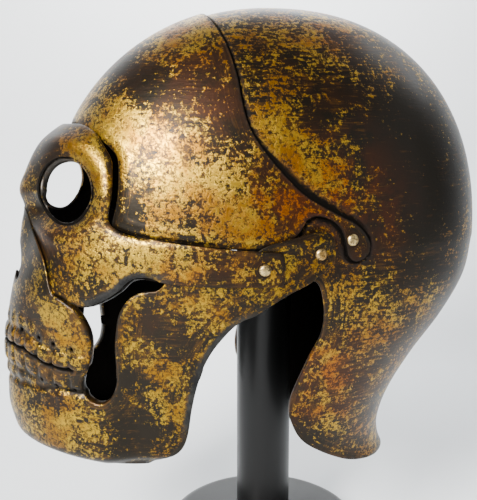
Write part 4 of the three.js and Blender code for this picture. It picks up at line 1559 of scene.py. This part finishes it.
        def lift(p: Places) -> np.ndarray:
            turn = smooth(p.forward, 0.56 * FACE_REACH, 0.69 * FACE_REACH)
            return LAP * (2 * turn - 1)

        def rear(p: Places) -> np.ndarray:
            behind = (1 - smooth(p.forward, 76.0, 90.0)) * smooth(-p.up, 24.0, 44.0)
            return np.maximum(behind, smooth(-p.up, 0.8 * JAW_DROP, 0.88 * JAW_DROP))

        def slot(p: Places) -> np.ndarray:
            return (smooth(p.forward, 88.0, 94.0) * (1 - smooth(p.forward, 128.0, 136.0))
                    * smooth(-p.up, 14.0, 24.0) * (1 - smooth(-p.up, 88.0, 94.0)))

        def worked(p: Places) -> np.ndarray:
            inside = outline.inside(p.forward, p.up)
            front = smooth(p.forward, 96.0, 122.0)
            turned = (rolled_edge(inside, self.roll, JAW_ROLL) * rear(p)
                      + rolled_edge(inside, SLOT_ROLL_WIDTH, SLOT_ROLL) * slot(p))
            groove = -1.3 * np.exp(-((p.up + 0.625 * JAW_DROP + 2.0 * front) / 2.2)**2) * front
            chin = 1.3 * np.exp(-((p.up + 0.78 * JAW_DROP) / 9.0)**2) * front
            return teeth.relief_at(p) + chin + groove + turned

        def bare(p: Places) -> np.ndarray:
            inside = outline.inside(p.forward, p.up)
            return (1 - smooth(inside, 0.55 * self.roll, self.roll)) * rear(p) * (
                1 - 0.85 * smooth(-p.up, 96.0, 110.0))

        def flange(p: Places) -> np.ndarray:
            opening = smooth(p.forward, 60.0, 75.0) * smooth(-p.up, 14.0, 24.0)
            arm = smooth(-p.up, 26.0, 40.0)
            bite = (np.abs(teeth.from_bite(p)) > 3.0) * (teeth.clear_of_drill(p) > 1.5)
            nose = NOSE_OUTLINE.inside(p.across, p.up) < -2.0
            wanted = JAW_TURN * np.maximum(opening, arm) * bite * nose * (p.forward < 0.97 * FACE_REACH)
            return turned_in(wanted, worked(p) + lift(p), p)

        return Plate(
            "jaw_plate", Body.VISOR, Slot.JAW, FaceForm(),
            np.linspace(-1.75, 1.75, 400),
            np.linspace(-1.02 * JAW_DROP, 0.165 * CROWN_HEIGHT, 142), False,
            (within(outline),
             teeth.clear_of_bite, teeth.clear_of_drill,
             lambda p: -NOSE_OUTLINE.inside(p.across, p.up) - RIM_BULGE,
             self.hole(seats["strap_rivet"]),
             self.hole(seats["pivot_rivet"])),
            # painted shade in the teeth's grooves, along the bite and round the drilled holes
            lift, worked, flange, (*JAW_WEAR.marks(), ("bare", bare), ("painted_shade", teeth.crevice_shade_at)),
        )

    def rivets(self, name: str, seat: RivetSeat) -> None:
        """A pair of domed rivets.

        Args:
            name: The rivet's name without its side.
            seat: The left one's seat.
        """
        for hand, side in (("left", 1.0), ("right", -1.0)):
            node = f"{name}_{hand}"
            axis = (seat.normal[0] * side, seat.normal[1], seat.normal[2])
            centre = (seat.point[0] * side, seat.point[1], seat.point[2])
            obj = Turned(RIVET_PROFILE, centre, axis, around=40).solid().build(
                f"dressed_{node}", self.pivot, self.finishes.by_slot[Slot.RIVET])
            body = Body.VISOR if name == "strap_rivet" else Body.SKULL
            declare(obj, body, Slot.RIVET, node)


@dataclass
class Stand:
    """The wooden post, base and cap that carry the helmet."""

    pivot: np.ndarray
    finishes: Finishes

    def build(self) -> None:
        """Builds the turned pieces from their CAD nodes' boxes, and repaints the cap."""
        self.turned("stand_post", ())
        self.turned("stand_base", BASE_SHOULDER)
        cap = frame_nodes()["stand_cap"]
        cap.data.materials.clear()
        cap.data.materials.append(self.finishes.by_slot[Slot.WOOD])

    def turned(self, node: str, shoulder: Rows) -> None:
        """One turned piece.

        Args:
            node: The CAD node it stands for.
            shoulder: (radius, height) shares of the rounded upper edge.
        """
        low, high = (to_helmet(np.array(corner)[None], self.pivot)[0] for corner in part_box(node))
        radius, height = (high[0] - low[0]) / 2, high[2] - low[2]
        rows = [(0.0, 0.0), (radius - 1.5, 0.0), (radius, 1.5)]
        rows += [(r * radius, h * height) for r, h in shoulder] or [(radius, height)]
        rows += [(0.0, height)] if not shoulder else [(0.9 * radius, height), (0.0, height)]
        centre = ((low[0] + high[0]) / 2, (low[1] + high[1]) / 2, low[2])
        obj = Turned(rows, centre, (0.0, 0.0, 1.0), around=128).solid().build(
            f"dressed_{node}", self.pivot, self.finishes.by_slot[Slot.WOOD])
        declare(obj, Body.SKULL, Slot.WOOD, node)


def declare(obj: bpy.types.Object, body: Body, slot: Slot, node: str) -> None:
    """Attaches a piece to its body and hides the CAD node that it stands for.

    Args:
        obj: The piece.
        body: Its body.
        slot: Its material slot, not used.
        node: The CAD node it replaces.
    """
    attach(obj, body.value)
    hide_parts(node)


@dataclass(frozen=True)
class Studio:
    """Floor, wall, lights and camera. Places are in metres in the row frame."""

    eye: tuple[float, float, float] = (0.456, -0.133, 0.28108)
    look: tuple[float, float, float] = (-0.9559, 0.2433, -0.1644)
    lens: float = 54.0
    room_light: float = 0.17
    # name, place, what it looks at, size, power, colour
    lights: tuple[tuple, ...] = (
        ("key", (0.79, -0.86, 0.85), (0.03, -0.05, 0.27), 0.42, 62.0, (1.0, 0.98, 0.95)),
        ("fill", (0.9, 0.9, 0.55), (0.0, 0.0, 0.2), 1.0, 3.0, (0.93, 0.96, 1.0)),
        ("wall", (-0.42, 0.11, 0.75), (-0.92, 0.22, 0.2), 0.5, 9.0, (1.0, 1.0, 1.0)),
        ("rim", (-0.25, 0.95, 1.1), (0.0, 0.05, 0.3), 0.6, 4.0, (0.95, 0.97, 1.0)),
    )

    def build(self) -> None:
        """Makes the stage, the lights and the camera."""
        self.backdrop()
        for name, place, target, size, power, colour in self.lights:
            light = bpy.data.lights.new(name, "AREA")
            light.size, light.energy, light.color = size, power, colour
            lamp = bpy.data.objects.new(name, light)
            lamp.location = place
            lamp.rotation_euler = (Vector(target) - Vector(place)).to_track_quat("-Z", "Y").to_euler()
            bpy.context.scene.collection.objects.link(lamp)
        world = bpy.data.worlds.new("room")
        world.use_nodes = True
        background = world.node_tree.nodes["Background"]
        background.inputs["Color"].default_value = ROOM_COLOUR
        background.inputs["Strength"].default_value = self.room_light
        bpy.context.scene.world = world
        camera = bpy.data.cameras.new("camera")
        camera.lens = self.lens
        seen = bpy.data.objects.new("camera", camera)
        seen.location = self.eye
        seen.rotation_euler = Vector(self.look).to_track_quat("-Z", "Y").to_euler()
        bpy.context.scene.collection.objects.link(seen)
        bpy.context.scene.camera = seen

    def backdrop(self) -> None:
        """A plain pale floor that sweeps up into a wall behind the object, seen from the camera."""
        turn = np.array([self.look[0], self.look[1]])
        turn /= np.linalg.norm(turn)
        side = np.array([-turn[1], turn[0]])
        bend, back, wide, tall = 0.25, 0.62, 2.6, 2.2
        arc = np.linspace(0, math.pi / 2, 24)
        along = np.concatenate([[-2.0], back - bend + bend * np.sin(arc), [back]])
        rise = np.concatenate([[0.0], bend - bend * np.cos(arc), [tall]])
        across = np.array([-wide, wide])
        xy = along[:, None, None] * turn + across[None, :, None] * side
        points = np.concatenate([xy, np.broadcast_to(rise[:, None, None], (len(along), 2, 1))], axis=2)
        mesh = bpy.data.meshes.new("floor")
        rows = np.arange(len(along) - 1) * 2
        faces = np.stack([rows, rows + 2, rows + 3, rows + 1], axis=1)
        mesh.from_pydata(points.reshape(-1, 3).tolist(), [], faces.tolist())
        mesh.polygons.foreach_set("use_smooth", np.ones(len(mesh.polygons), bool))
        paint = bpy.data.materials.new("pale_floor")
        paint.use_nodes = True
        shader = paint.node_tree.nodes["Principled BSDF"]
        shader.inputs["Base Color"].default_value = FLOOR_COLOUR
        shader.inputs["Roughness"].default_value = 0.85
        mesh.materials.append(paint)
        floor = bpy.data.objects.new("floor", mesh)
        bpy.context.scene.collection.objects.link(floor)


def main() -> None:
    """Dresses the frame."""
    FRAME.update(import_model())
    joint = FRAME["record"]["behaviour"]["joints"][0]
    pivot = np.array(joint["pos_m"])
    finishes = Finishes.make()
    SkullHelmet(pivot, finishes).build()
    Stand(pivot, finishes).build()
    Studio().build()


if __name__ == "__main__":
    main()
